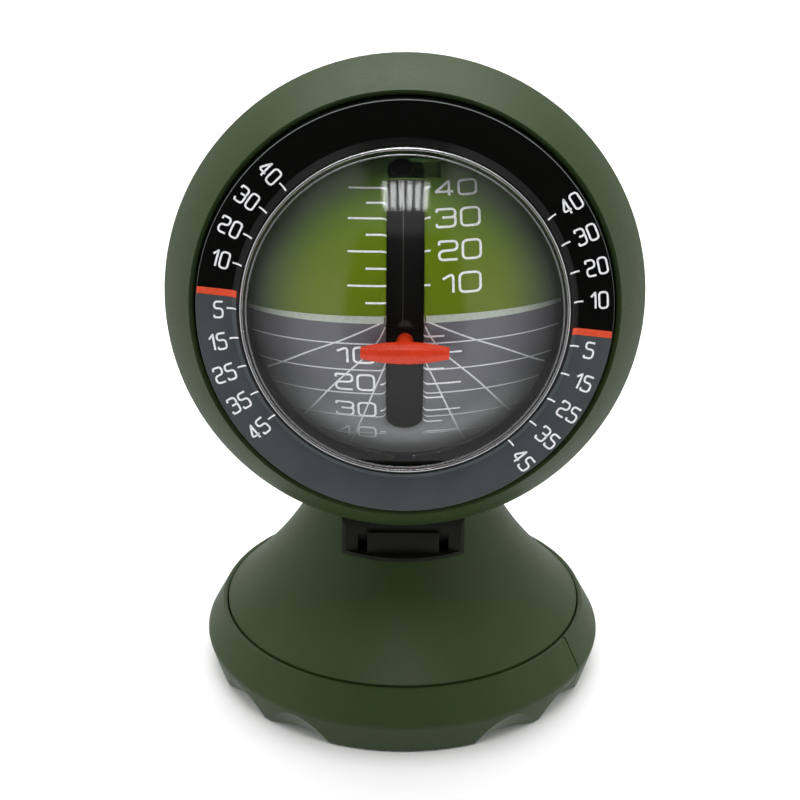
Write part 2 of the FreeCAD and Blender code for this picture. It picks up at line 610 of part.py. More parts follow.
def make_skirt_ring():
    """Split ring round the base plate, with thumb scoops under its widest line."""
    body = body_of("skirt_ring")
    profile = sketch_on(body, "XZ_Plane", "skirt_profile")
    bore = "cone_rim_radius + groove_width"
    draw(profile, [
        ("plate_radius", "skirt_lift"),
        ("skirt_foot_radius", "skirt_lift"),
        ("skirt_wide_radius", "skirt_wide_height"),
        (bore + " + skirt_land", "skirt_top_height"),
        (bore, "skirt_top_height"),
        (bore, PLATE_TOP),
        ("plate_radius", PLATE_TOP),
    ])
    turning = turned(body, profile, "skirt_turning")
    crease = softened(body, turning, "skirt_crease", "skirt_crease_round",
                      circle_edge("skirt_wide_radius", "skirt_wide_height"))
    pitch = "(360 - scoop_free) / scoop_count"
    cutter = sketch_on(body, "XZ_Plane", "scoop_outline",
                       turn=(FreeCAD.Vector(0, 1, 0), "(scoop_free + " + pitch + ") / 2 - 90"))
    middle = "(skirt_foot_radius - scoop_depth + scoop_radius / cos(scoop_lean))"
    reach = "(skirt_top_height + overrun)"
    near = "scoop_radius * cos(scoop_lean)"
    rise = "scoop_radius * sin(scoop_lean)"
    low = (middle + " - " + reach + " * sin(scoop_lean)", "skirt_lift - " + reach + " * cos(scoop_lean)")
    high = (middle + " + " + reach + " * sin(scoop_lean)", "skirt_lift + " + reach + " * cos(scoop_lean)")
    draw(cutter, [
        low,
        high,
        (high[0] + " - " + near, high[1] + " + " + rise),
        (low[0] + " - " + near, low[1] + " + " + rise),
    ])
    centre_line(cutter, low, high)
    scoop = turned(body, cutter, "skirt_scoop", "Groove", "Axis0")
    patterned(body, scoop, "skirt_scoops", "scoop_count", "(scoop_count - 1) * " + pitch)
    seam = sketch_on(body, "XY_Plane", "seam_outline", turn=(FreeCAD.Vector(0, 0, 1), "seam_angle - 90"))
    draw(seam, [
        ("plate_radius - overrun", "-seam_width / 2"),
        ("skirt_wide_radius + overrun", "-seam_width / 2"),
        ("skirt_wide_radius + overrun", "seam_width / 2"),
        ("plate_radius - overrun", "seam_width / 2"),
    ])
    raised(body, seam, "skirt_seam", "(skirt_top_height + overrun) * 2", kind="Pocket", midplane=True)
    return keep(body, "skirt_ring")


# Turntable: swivel disc, cone, screws, hinge socket, friction washers and pin.

CAVITY_TOP = "(seat_height - seat_thickness)"


def hollow_curve(low, high):
    """The centre of the cone's hollow curve through two places, as expressions."""
    across = "(%s - %s)" % (low[0], high[0])
    up = "(%s - %s)" % (high[1], low[1])
    chord = "sqrt(%s ^ 2 + %s ^ 2)" % (across, up)
    out = "sqrt(cone_flank_radius ^ 2 - (%s / 2) ^ 2) / %s" % (chord, chord)
    return ("((%s + %s) / 2 + %s * %s)" % (low[0], high[0], up, out),
            "((%s + %s) / 2 + %s * %s)" % (low[1], high[1], across, out))


FLANK = hollow_curve(("cone_rim_radius", "cone_rim_height"), ("cone_crown_radius", "cone_crown_height"))
FLANK_AT_SEAT = "(%s - sqrt(cone_flank_radius ^ 2 - (%s - seat_height) ^ 2))" % FLANK
SOCKET_REACH = "(" + FLANK_AT_SEAT + " + socket_proud)"
CEILING = hollow_curve(("(cone_rim_radius - cone_wall)", "cone_rim_height"), ("cavity_radius", CAVITY_TOP))
BOSS_TOP = "(%s - sqrt(cone_flank_radius ^ 2 - (%s - boss_place - boss_seat) ^ 2))" % (CEILING[1], CEILING[0])


def make_swivel_disc():
    """Disc screwed under the cone that turns on the spigot."""
    body = body_of("swivel_disc")
    profile = sketch_on(body, "XZ_Plane", "disc_profile")
    draw(profile, [
        ("spigot_radius + shaft_gap", DISC_BOTTOM),
        ("disc_radius", DISC_BOTTOM),
        ("disc_radius", DISC_TOP),
        ("spigot_radius + shaft_gap", DISC_TOP),
    ])
    turned(body, profile, "disc_turning")
    hole = sketch_on(body, "XY_Plane", "disc_hole")
    ring(hole, "0", "boss_place", "boss_screw_radius")
    cut = raised(body, hole, "disc_drilling", "(" + DISC_TOP + ") * 2 + overrun", kind="Pocket", midplane=True)
    patterned(body, cut, "disc_drillings", "boss_count")
    return keep(body, "swivel_disc")


def make_base_cone():
    """Hollow cone with a seat and window for the hinge and three screw bosses."""
    body = body_of("base_cone")
    profile = sketch_on(body, "XZ_Plane", "cone_profile")
    draw(profile, [
        ("cone_rim_radius", "cone_rim_height - cone_rim_drop"),
        ("cone_rim_radius", "cone_rim_height"),
        ("cone_crown_radius", "cone_crown_height"),
        ("0", "cone_crown_height"),
        ("0", CAVITY_TOP),
        ("cavity_radius", CAVITY_TOP),
        ("cone_rim_radius - cone_wall", "cone_rim_height"),
        ("cone_rim_radius - cone_wall", "cone_rim_height - cone_rim_drop"),
    ], {1: ("cone_flank_radius", 1), 5: ("cone_flank_radius", -1)})
    turning = turned(body, profile, "cone_turning")
    crown = softened(body, turning, "cone_crown", "crown_round",
                     circle_edge("cone_crown_radius", "cone_crown_height"))
    boss = sketch_on(body, "XY_Plane", "boss_outline", offset=DISC_TOP)
    ring(boss, "0", "boss_place", "boss_radius")
    post = raised(body, boss, "cone_boss", BOSS_TOP + " - (" + DISC_TOP + ")")
    patterned(body, post, "cone_bosses", "boss_count")
    drill = sketch_on(body, "XY_Plane", "boss_drill", offset=DISC_TOP + " + boss_screw_grip")
    ring(drill, "0", "boss_place", "boss_screw_radius")
    bore = raised(body, drill, "cone_boss_bore", "boss_screw_grip + overrun", kind="Pocket")
    patterned(body, bore, "cone_boss_bores", "boss_count")
    window = sketch_on(body, "YZ_Plane", "window_outline")
    draw(window, [
        ("-(cone_rim_radius + overrun)", "seat_height"),
        ("window_back", "seat_height"),
        ("window_back", "cone_crown_height + overrun"),
        ("-(cone_rim_radius + overrun)", "cone_crown_height + overrun"),
    ])
    raised(body, window, "cone_window", "socket_width + socket_fit * 2", kind="Pocket", midplane=True)
    for name, side in (("left", "-1"), ("right", "1")):
        seat = sketch_on(body, "XY_Plane", "seat_hole_" + name, offset="seat_height + overrun")
        ring(seat, "(" + SOCKET_SCREW_X + ") * " + side, SOCKET_SCREW_Y, "neck_screw_radius")
        raised(body, seat, "seat_drilling_" + name, "seat_thickness + overrun * 2", kind="Pocket")
    return keep(body, "base_cone")


SOCKET_SCREW_X = "(socket_width + ear_gap) / 4"
SOCKET_SCREW_Y = "window_back / 2"


def make_hinge_socket():
    """Black U-shaped insert in the cone's window with the two hinge ears."""
    body = body_of("hinge_block")
    side = sketch_on(body, "YZ_Plane", "ear_profile")
    front = "-(hinge_forward + ear_radius)"
    floor = "seat_height + socket_floor"
    draw(side, [
        ("-(" + SOCKET_REACH + " + overrun)", "seat_height"),
        ("window_back - socket_fit", "seat_height"),
        ("window_back - socket_fit", "seat_height + wing_rise"),
        ("ear_radius - hinge_forward", "seat_height + wing_rise"),
        ("ear_radius - hinge_forward", "hinge_height"),
        (front, "hinge_height"),
        (front, floor),
        ("-(" + SOCKET_REACH + " + overrun)", floor),
    ])
    raised(body, side, "socket_block", "socket_width", midplane=True)
    top = sketch_on(body, "YZ_Plane", "ear_top")
    ring(top, "-hinge_forward", "hinge_height", "ear_radius")
    raised(body, top, "socket_ears", "socket_width", midplane=True)
    channel = sketch_on(body, "XZ_Plane", "channel_outline")
    draw(channel, [
        ("-ear_gap / 2", floor),
        ("ear_gap / 2", floor),
        ("ear_gap / 2", "hinge_height + ear_radius + overrun"),
        ("-ear_gap / 2", "hinge_height + ear_radius + overrun"),
    ])
    raised(body, channel, "socket_channel", "(" + SOCKET_REACH + " + overrun) * 4", kind="Pocket", midplane=True)
    bore = sketch_on(body, "YZ_Plane", "ear_bore")
    ring(bore, "-hinge_forward", "hinge_height", "pin_radius")
    raised(body, bore, "ear_bores", "socket_width + overrun", kind="Pocket", midplane=True)
    for name, way in (("left", "-1"), ("right", "1")):
        hole = sketch_on(body, "XY_Plane", "wing_hole_" + name, offset="seat_height + wing_rise - blind_end")
        ring(hole, "(" + SOCKET_SCREW_X + ") * " + way, SOCKET_SCREW_Y, "neck_screw_radius")
        raised(body, hole, "wing_drilling_" + name, "wing_rise + overrun", kind="Pocket")
    bound = cylinder("socket_bound", SOCKET_REACH, "cone_crown_height + overrun", ("0", "0", "0"))
    socket = doc.addObject("Part::Common", "hinge_socket_solid")
    socket.Base = body
    socket.Tool = bound
    return keep(socket, "hinge_socket")


def make_socket_screws():
    """Two screws up through the cone's seat into the socket's rear wings."""
    length = "seat_thickness + wing_rise - blind_end"
    return group("socket_screws", [
        screw("socket_screw_" + name, ("(" + SOCKET_SCREW_X + ") * " + way, SOCKET_SCREW_Y, CAVITY_TOP),
              "neck_screw_radius", length, "neck_screw_head_radius", "neck_screw_head_rise")
        for name, way in (("left", "-1"), ("right", "1"))])


def make_cone_screws():
    """Screws up through the swivel disc into the cone's bosses."""
    screws = []
    for place in range(int(value_of("boss_count"))):
        angle = "(90 + %d * 360 / boss_count)" % place
        base = ("boss_place * cos(%s)" % angle, "boss_place * sin(%s)" % angle, DISC_BOTTOM)
        screws.append(screw("cone_screw_%d" % place, base, "boss_screw_radius",
                            "disc_thickness + boss_screw_grip",
                            "boss_screw_head_radius", "boss_screw_head_rise"))
    return group("cone_screws", screws)


def make_hinge_pin():
    """Steel pin through both ears, the washers and the knuckle."""
    pin = cylinder("hinge_rod", "pin_radius", "socket_width",
                   ("-socket_width / 2", "-hinge_forward", "hinge_height"), axis=(1, 0, 0))
    return keep(pin, "hinge_pin")


def make_hinge_washers():
    """Friction washers between the ears and the knuckle."""
    washers = []
    inner = "knuckle_width / 2 + hinge_play"
    for name, start in (("left", "-ear_gap / 2"), ("right", inner)):
        base = (start, "-hinge_forward", "hinge_height")
        width = "hinge_washer"
        disc = cylinder("washer_disc_" + name, "knuckle_radius", width, base, axis=(1, 0, 0))
        hole = cylinder("washer_hole_" + name, "pin_radius", width, base, axis=(1, 0, 0))
        washer = doc.addObject("Part::Cut", "hinge_washer_" + name)
        washer.Base = disc
        washer.Tool = hole
        washers.append(washer)
    return group("hinge_washers", washers)


# Head: neck, rear housing, friction ring and roll bush.

HOUSING_INNER_BACK = "housing_depth - housing_wall"


def wall_at(place):
    """Inner radius of the housing at a place along the head's axis, as an expression."""
    return ("(housing_centre_across + sqrt(housing_inner_curve ^ 2 - (%s - housing_centre_along) ^ 2))"
            % place)


def make_tilt_neck():
    """Knuckle and plate that carry the head."""
    body = body_of("tilt_neck")
    web = sketch_on(body, "YZ_Plane", "neck_web")
    draw(web, [
        ("-neck_reach", "-knuckle_radius"),
        ("-(neck_pad + neck_plate)", "-neck_back"),
        ("-neck_pad", "-neck_back"),
        ("-neck_pad", "neck_front"),
        ("-(neck_pad + neck_plate)", "neck_front"),
        ("-neck_reach", "neck_front"),
    ])
    raised(body, web, "neck_block", "knuckle_width", midplane=True)
    barrel = sketch_on(body, "YZ_Plane", "knuckle_outline")
    ring(barrel, "-neck_reach", "0", "knuckle_radius")
    raised(body, barrel, "neck_knuckle", "knuckle_width", midplane=True)
    bore = sketch_on(body, "YZ_Plane", "knuckle_bore")
    ring(bore, "-neck_reach", "0", "pin_radius + shaft_gap")
    raised(body, bore, "neck_bore", "knuckle_width + overrun", kind="Pocket", midplane=True)
    for name, way in (("left", "-1"), ("right", "1")):
        hole = sketch_on(body, "XZ_Plane", "neck_hole_" + name, offset="neck_pad + neck_plate - neck_blind_end")
        ring(hole, "neck_screw_spread * " + way, "-neck_screw_back", "neck_screw_radius")
        raised(body, hole, "neck_drilling_" + name, "neck_plate + overrun", kind="Pocket")
    set_on_head(body)
    return keep(body, "tilt_neck")


def make_neck_screws():
    """Two screws from inside the housing into the neck plate."""
    lean = "180 - rest_tilt"
    screws = []
    for name, way in (("left", "-1"), ("right", "1")):
        down = "neck_boss_rise"
        back = "neck_screw_back"
        base = ("neck_screw_spread * " + way,
                "-(" + HEAD_FORWARD + ") - " + down + " * sin(rest_tilt) + " + back + " * cos(rest_tilt)",
                HEAD_HEIGHT + " - " + down + " * cos(rest_tilt) - " + back + " * sin(rest_tilt)")
        length = "neck_pad + neck_plate - neck_blind_end - neck_boss_rise"
        screws.append(screw("neck_screw_" + name, base, "neck_screw_radius", length,
                            "neck_screw_head_radius", "neck_screw_head_rise", lean=lean))
    return group("neck_screws", screws)


def make_rear_housing():
    """Deep rear shell with the collar that the bezel turns on, the neck pad and the bush seat."""
    body = body_of("rear_housing")
    profile = sketch_on(body, "XZ_Plane", "housing_profile")
    step = "housing_rim - housing_wall"
    seat_bottom = "collar_radius - ring_seat_depth"
    draw(profile, [
        ("0", "-housing_depth"),
        ("rear_face_radius", "-housing_depth"),
        ("housing_radius", "housing_rim"),
        ("collar_radius", "housing_rim"),
        ("collar_radius", "ring_seat_back"),
        (seat_bottom, "ring_seat_back"),
        (seat_bottom, "ring_seat_back + ring_width"),
        ("collar_radius", "ring_seat_back + ring_width"),
        ("collar_radius", "collar_front - bead_length"),
        ("collar_radius + bead_rise", "collar_front - bead_length"),
        ("collar_radius + bead_rise", "collar_front"),
        ("collar_bore", "collar_front"),
        ("collar_bore", step),
        (wall_at("(" + step + ")"), step),
        (wall_at("-(" + HOUSING_INNER_BACK + ")"), "-(" + HOUSING_INNER_BACK + ")"),
        ("bush_seat_radius", "-(" + HOUSING_INNER_BACK + ")"),
        ("bush_seat_radius", "-bush_seat_front"),
        ("bush_radius", "-bush_seat_front"),
        ("bush_radius", "-(" + HOUSING_INNER_BACK + ")"),
        ("0", "-(" + HOUSING_INNER_BACK + ")"),
    ], {1: ("housing_curve", -1), 13: ("housing_inner_curve", 1)})
    turned(body, profile, "housing_turning")
    pad = sketch_on(body, "YZ_Plane", "neck_pad_outline")
    draw(pad, [
        ("-neck_pad", "-(neck_back + neck_boss_margin)"),
        ("-neck_boss_rise", "-(neck_back + neck_boss_margin)"),
        ("-neck_boss_rise", "neck_front + neck_boss_margin"),
        ("-neck_pad", "neck_front + neck_boss_margin"),
    ])
    raised(body, pad, "housing_neck_pad", "knuckle_width + neck_boss_margin * 2", midplane=True)
    for name, way in (("left", "-1"), ("right", "1")):
        hole = sketch_on(body, "XZ_Plane", "pad_hole_" + name, offset="neck_pad + overrun")
        ring(hole, "neck_screw_spread * " + way, "-neck_screw_back", "neck_screw_radius")
        raised(body, hole, "pad_drilling_" + name, "neck_pad - neck_boss_rise + overrun * 2", kind="Pocket")
    set_on_head(body)
    return keep(body, "rear_housing")


def make_friction_ring():
    """Rubber ring in the collar's groove that keeps the bezel where it is set."""
    seat = "collar_radius - ring_seat_depth"
    top = "collar_radius + shaft_gap"
    return turned_piece("friction_ring", [
        (seat, "ring_seat_back"),
        (top, "ring_seat_back"),
        (top, "ring_seat_back + ring_width"),
        (seat, "ring_seat_back + ring_width"),
    ], on_head=True)


def make_roll_bush():
    """Bush in the rear housing that the roll axle turns in."""
    bore = "axle_radius + shaft_gap"
    return turned_piece("roll_bush", [
        (bore, "-(" + HOUSING_INNER_BACK + ")"),
        ("bush_radius", "-(" + HOUSING_INNER_BACK + ")"),
        ("bush_radius", "-bush_seat_front"),
        (bore, "-bush_seat_front"),
    ], on_head=True)


# Bezel: bezel ring, dial, lens, seal and retaining ring, which turn together to set zero.

SHELF_BACK = "dial_seat - shelf_thickness"
FLANGE_FRONT = SHELF_BACK + " - seal_thickness"
FLANGE_BACK = FLANGE_FRONT + " - lens_flange"


def make_bezel():
    """Bezel ring that snaps over the collar's bead."""
    bore = "collar_radius + running_gap"
    relief = "collar_radius + bead_rise + running_gap"
    back = "housing_rim + running_gap"
    lip = "dial_radius + dial_gap"
    return turned_piece("bezel", [
        (bore, back),
        ("bezel_back_radius", back),
        ("bezel_radius", "bezel_wide_place"),
        ("bezel_front_radius", "bezel_front"),
        (lip, "bezel_front - lip_round / 2"),
        (lip, "dial_seat"),
        ("shelf_bore", "dial_seat"),
        ("shelf_bore", SHELF_BACK),
        ("lens_bore", SHELF_BACK),
        ("lens_bore", "lens_bore_back"),
        (relief, "lens_bore_back"),
        (relief, "collar_front - bead_length - running_gap"),
        (bore, "collar_front - bead_length - running_gap"),
    ], {2: ("bezel_flank_curve", -1), 3: ("lip_round", -1)}, on_head=True)


def make_dial_ring():
    """Ring that carries the roll scale on a raised flat face, with a lip round the dome."""
    return turned_piece("dial_ring", [
        ("dial_foot_radius", "dial_seat"),
        ("dial_radius", "dial_seat"),
        ("dial_radius", "dial_edge"),
        ("dial_radius - dial_bevel_width", "dial_face"),
        ("dial_inner_radius + dial_lip", "dial_face"),
        ("dial_inner_radius", "dial_inner_edge"),
        ("dial_inner_radius + shaft_gap", "dial_inner_edge - running_gap"),
        ("dial_relief_radius", "dial_relief_place"),
    ], on_head=True)


def make_dome_lens():
    """Clear dome, concentric with the ball, with its flange under the bezel's shelf."""
    inner = "(dome_radius - dome_wall)"
    barrel_bore = "(lens_barrel_radius - dome_wall + shaft_gap * 2)"
    return turned_piece("dome_lens", [
        ("0", "dome_radius"),
        ("0", inner),
        (barrel_bore, "sqrt(" + inner + " ^ 2 - " + barrel_bore + " ^ 2)"),
        (barrel_bore, FLANGE_BACK),
        ("lens_flange_radius", FLANGE_BACK),
        ("lens_flange_radius", FLANGE_FRONT),
        ("lens_barrel_radius", FLANGE_FRONT),
        ("lens_barrel_radius", "sqrt(dome_radius ^ 2 - lens_barrel_radius ^ 2)"),
    ], {1: (inner, 1), 7: ("dome_radius", -1)}, on_head=True)


def make_lens_seal():
    """Thin rubber seal between the lens flange and the shelf."""
    return turned_piece("lens_seal", [
        ("shelf_bore", FLANGE_FRONT),
        ("lens_flange_radius", FLANGE_FRONT),
        ("lens_flange_radius", SHELF_BACK),
        ("shelf_bore", SHELF_BACK),
    ], on_head=True)


def make_lens_retainer():
    """Ring pressed in behind the lens flange."""
    return turned_piece("lens_retainer", [
        ("retainer_bore", FLANGE_BACK + " - retainer_width"),
        ("lens_bore", FLANGE_BACK + " - retainer_width"),
        ("lens_bore", FLANGE_BACK),
        ("retainer_bore", FLANGE_BACK),
    ], on_head=True)


# Rolling ball: printed horizon cap, carrier, axle, weight and bumper.

CAP_EDGE = "(ball_radius * cos(cap_half_angle))"


def make_horizon_cap():
    """Printed ball cap with the pointer slot and the bumper recess."""
    body = body_of("horizon_cap")
    profile = sketch_on(body, "XZ_Plane", "cap_profile")
    inner = "(ball_radius - ball_wall)"
    draw(profile, [
        ("0", "ball_radius"),
        ("0", inner),
        ("sqrt(" + inner + " ^ 2 - " + CAP_EDGE + " ^ 2)", CAP_EDGE),
        ("ball_radius * sin(cap_half_angle)", CAP_EDGE),
    ], {1: (inner, 1), 3: ("ball_radius", -1)})
    turned(body, profile, "cap_turning")
    for name, angle, reverse in (("up", "slot_top", True), ("down", "slot_bottom", False)):
        window = sketch_on(body, "XZ_Plane", "slot_" + name)
        draw(window, [
            ("-slot_width / 2", "ball_radius - ball_wall * 2"),
            ("slot_width / 2", "ball_radius - ball_wall * 2"),
            ("slot_width / 2", "ball_radius + ball_wall"),
            ("-slot_width / 2", "ball_radius + ball_wall"),
        ])
        turned(body, window, "cap_slot_" + name, "Groove", "H_Axis", angle, reverse=reverse)
    end = body.newObject("PartDesign::SubtractiveCylinder", "cap_slot_end")
    end.setExpression("Radius", bind("slot_width / 2"))
    end.setExpression("Height", bind("ball_wall * 3"))
    end.Placement = FreeCAD.Placement(FreeCAD.Vector(), FreeCAD.Rotation(FreeCAD.Vector(1, 0, 0), 1))
    start = "(ball_radius - ball_wall * 2)"
    end.setExpression(".Placement.Base.y", bind("-" + start + " * sin(slot_bottom)"))
    end.setExpression(".Placement.Base.z", bind(start + " * cos(slot_bottom)"))
    end.setExpression(".Placement.Rotation.Angle", bind("slot_bottom"))
    lips = softened(body, end, "cap_slot_lips", "slot_lip", slot_edge)
    recess = body.newObject("PartDesign::SubtractiveBox", "cap_recess")
    recess.setExpression("Length", bind("slot_width / 2 + notch_right"))
    recess.setExpression("Width", bind("notch_rise"))
    recess.setExpression("Height", bind("ball_wall * 2"))
    recess.Placement = FreeCAD.Placement(FreeCAD.Vector(), FreeCAD.Rotation(FreeCAD.Vector(1, 0, 0), -1))
    floor = "(ball_radius - notch_depth)"
    recess.setExpression(".Placement.Base.x", bind("-slot_width / 2"))
    recess.setExpression(".Placement.Base.y",
                         bind(floor + " * sin(notch_angle) - notch_rise / 2 * cos(notch_angle)"))
    recess.setExpression(".Placement.Base.z",
                         bind(floor + " * cos(notch_angle) + notch_rise / 2 * sin(notch_angle)"))
    recess.setExpression(".Placement.Rotation.Angle", bind("-notch_angle"))
    set_on_head(body)
    return keep(body, "horizon_cap")


def slot_edge(edge):
    """Whether an edge runs along the outside of the pointer slot."""
    start, end = edge.ParameterRange
    places = [edge.valueAt(start + (end - start) * share) for share in EDGE_SHARES]
    outside = all(abs(place.Length - value_of("ball_radius")) < value_of("edge_tolerance") for place in places)
    low = value_of("ball_radius * sin(cap_half_angle)") * SLOT_REACH_SHARE
    return outside and all(abs(place.x) < value_of("slot_width") and abs(place.y) < low for place in places)


def make_ball_carrier():
    """Rear half of the ball with the axle hub and the two arms of the pitch pin."""
    body = body_of("ball_carrier")
    profile = sketch_on(body, "XZ_Plane", "carrier_profile")
    inner = "(carrier_radius - carrier_wall)"
    draw(profile, [
        ("axle_radius", "-hub_back"),
        ("hub_radius", "-hub_back"),
        ("hub_radius", "-sqrt(carrier_radius ^ 2 - hub_radius ^ 2)"),
        ("sqrt(carrier_radius ^ 2 - " + CAP_EDGE + " ^ 2)", CAP_EDGE),
        ("sqrt(" + inner + " ^ 2 - " + CAP_EDGE + " ^ 2)", CAP_EDGE),
        ("hub_radius", "-sqrt(" + inner + " ^ 2 - hub_radius ^ 2)"),
        ("axle_radius", "-sqrt(" + inner + " ^ 2 - hub_radius ^ 2)"),
    ], {2: ("carrier_radius", -1), 4: (inner, 1)})
    turned(body, profile, "carrier_turning")
    arm = sketch_on(body, "YZ_Plane", "arm_outline", offset="arm_offset")
    draw(arm, [
        ("-arm_radius", "-arm_back"),
        ("arm_radius", "-arm_back"),
        ("arm_radius", "0"),
        ("-arm_radius", "0"),
    ])
    beam = raised(body, arm, "carrier_arm", "arm_thickness")
    tip = sketch_on(body, "YZ_Plane", "arm_tip", offset="arm_offset")
    ring(tip, "0", "0", "arm_radius")
    eye = raised(body, tip, "carrier_eye", "arm_thickness")
    mirror = body.newObject("PartDesign::Mirrored", "carrier_arms")
    mirror.Originals = [beam, eye]
    mirror.MirrorPlane = (origin_part(body, "YZ_Plane"), [""])
    body.Tip = mirror
    bore = sketch_on(body, "YZ_Plane", "arm_bore")
    ring(bore, "0", "0", "pitch_pin_radius + shaft_gap")
    raised(body, bore, "carrier_bores", "(arm_offset + arm_thickness) * 2 + overrun", kind="Pocket", midplane=True)
    set_on_head(body)
    return keep(body, "ball_carrier")


def make_roll_axle():
    """Steel axle pressed in the carrier's hub."""
    return turned_piece("roll_axle", [
        ("0", "-axle_back"),
        ("axle_radius", "-axle_back"),
        ("axle_radius", "-axle_front"),
        ("0", "-axle_front"),
    ], on_head=True)


def make_roll_weight():
    """Brass segment under the carrier that keeps the ball upright."""
    body = body_of("roll_weight")
    profile = sketch_on(body, "YZ_Plane", "weight_profile")
    draw(profile, [
        ("-sqrt(carrier_radius ^ 2 - weight_front ^ 2)", "-weight_front"),
        ("-(" + wall_at("-weight_front") + " - weight_clearance)", "-weight_front"),
        ("-(" + wall_at("-weight_back") + " - weight_clearance)", "-weight_back"),
        ("-sqrt(carrier_radius ^ 2 - weight_back ^ 2)", "-weight_back"),
    ], {3: ("carrier_radius", 1)})
    turned(body, profile, "weight_turning", angle="weight_angle", midplane=True)
    set_on_head(body)
    return keep(body, "roll_weight")


def make_slot_bumper():
    """Small rubber bumper in the recess at the slot's upper end."""
    floor = "(ball_radius - notch_depth)"
    lean = "90 - rest_tilt - notch_angle"
    bumper = cylinder("bumper_disc", "bumper_radius", "notch_depth", (
        "-bumper_offset",
        "-(" + HEAD_FORWARD + ") - " + floor + " * sin(" + lean + ")",
        HEAD_HEIGHT + " + " + floor + " * cos(" + lean + ")"), lean=lean)
    return keep(bumper, "slot_bumper")


# Swinging wheel: wheel, pin, weights and pointer, level whatever the head does.

def make_pitch_wheel():
    """Black wheel whose rim shows through the slot."""
    body = body_of("pitch_wheel")
    profile = sketch_on(body, "XZ_Plane", "wheel_profile")
    rim_bottom = "wheel_radius - rim_thickness"
    half_rim = "wheel_width / 2"
    half_web = "web_thickness / 2"
    half_hub = "wheel_hub_width / 2"
    draw(profile, [
        ("-" + half_hub, "pitch_pin_radius"),
        (half_hub, "pitch_pin_radius"),
        (half_hub, "wheel_hub_radius"),
        (half_web, "wheel_hub_radius"),
        (half_web, rim_bottom),
        (half_rim, rim_bottom),
        (half_rim, "wheel_radius"),
        ("-ridge_left", "wheel_radius"),
        ("-ridge_left", "wheel_radius + ridge_rise"),
        ("-(ridge_left + ridge_width)", "wheel_radius + ridge_rise"),
        ("-(ridge_left + ridge_width)", "wheel_radius"),
        ("-" + half_rim, "wheel_radius"),
        ("-" + half_rim, rim_bottom),
        ("-" + half_web, rim_bottom),
        ("-" + half_web, "wheel_hub_radius"),
        ("-" + half_hub, "wheel_hub_radius"),
    ])
    turned(body, profile, "wheel_turning", axis="H_Axis")
    socket = sketch_on(body, "XY_Plane", "stem_socket", offset="wheel_radius + overrun")
    ring(socket, "0", "0", "stem_radius")
    raised(body, socket, "wheel_stem_hole", "rim_thickness + overrun", kind="Pocket")
    set_on_head(body, level=True)
    return keep(body, "pitch_wheel")


def make_pitch_pin():
    """Steel pin pressed in the wheel that turns in the carrier's arms."""
    pin = cylinder("pitch_rod", "pitch_pin_radius", "pitch_pin_length",
                   ("-pitch_pin_length / 2", "-(" + HEAD_FORWARD + ")", HEAD_HEIGHT), axis=(1, 0, 0))
    return keep(pin, "pitch_pin")


def make_pitch_weights():
    """Brass segments each side of the web that hang the wheel level."""
    weights = []
    for name, reverse in (("left", True), ("right", False)):
        body = body_of("pitch_weight_" + name)
        profile = sketch_on(body, "XY_Plane", "bob_" + name,
                            turn=(FreeCAD.Vector(1, 0, 0), "bob_lag"))
        sign = "-" if reverse else ""
        near = sign + "web_thickness / 2"
        far = sign + "(web_thickness / 2 + bob_thickness)"
        outer = "-(wheel_radius - rim_thickness)"
        draw(profile, [(near, outer), (far, outer), (far, "-bob_inner"), (near, "-bob_inner")])
        turned(body, profile, "bob_turning_" + name, axis="H_Axis", angle="bob_angle", midplane=True)
        set_on_head(body, level=True)
        weights.append(body)
    return group("pitch_weights", weights)


def make_pointer():
    """Red barrel-shaped bar on a stem through the slot."""
    body = body_of("pointer")
    stem = sketch_on(body, "XY_Plane", "stem_outline", offset="wheel_radius - rim_thickness")
    ring(stem, "0", "0", "stem_radius")
    raised(body, stem, "pointer_stem", "bar_place - (wheel_radius - rim_thickness)")
    bar = sketch_on(body, "XY_Plane", "bar_outline", offset="bar_place")
    belly = "((bar_length / 2) ^ 2 + (bar_radius - bar_end_radius) ^ 2) / (2 * (bar_radius - bar_end_radius))"
    draw(bar, [
        ("-bar_length / 2", "0"),
        ("bar_length / 2", "0"),
        ("bar_length / 2", "bar_end_radius"),
        ("-bar_length / 2", "bar_end_radius"),
    ], {2: (belly, -1)})
    turned(body, bar, "pointer_bar", axis="H_Axis")
    set_on_head(body, level=True)
    return keep(body, "pointer")


MAKERS = [
    make_adhesive_pad, make_base_plate, make_swivel_washer, make_swivel_screw, make_skirt_ring,
    make_swivel_disc, make_base_cone, make_cone_screws, make_hinge_socket, make_socket_screws,
    make_hinge_pin, make_hinge_washers,
    make_tilt_neck, make_neck_screws, make_rear_housing, make_friction_ring, make_roll_bush,
    make_bezel, make_dial_ring, make_dome_lens, make_lens_seal, make_lens_retainer,
    make_horizon_cap, make_ball_carrier, make_roll_axle, make_roll_weight, make_slot_bumper,
    make_pitch_wheel, make_pitch_pin, make_pitch_weights, make_pointer,
]

for maker in MAKERS:
    maker()
doc.recompute()

faults = [item.Name for item in doc.Objects if {"Invalid", "Error"} & set(item.State)]
for name, piece in pieces.items():
    if piece.Shape.isNull() or not piece.Shape.isValid() or not piece.Shape.Solids:
        faults.append(name)
if faults:
    raise RuntimeError("failed objects: " + ", ".join(faults))

os.makedirs("parts", exist_ok=True)
for name, piece in pieces.items():
    piece.Shape.exportStep("parts/%s.step" % name)
    box = piece.Shape.BoundBox
    print("%-16s solids %d volume %9.2f  x %7.2f %7.2f  y %7.2f %7.2f  z %7.2f %7.2f" % (
        name, len(piece.Shape.Solids), piece.Shape.Volume,
        box.XMin, box.XMax, box.YMin, box.YMax, box.ZMin, box.ZMax))
print("nodes", len(pieces))
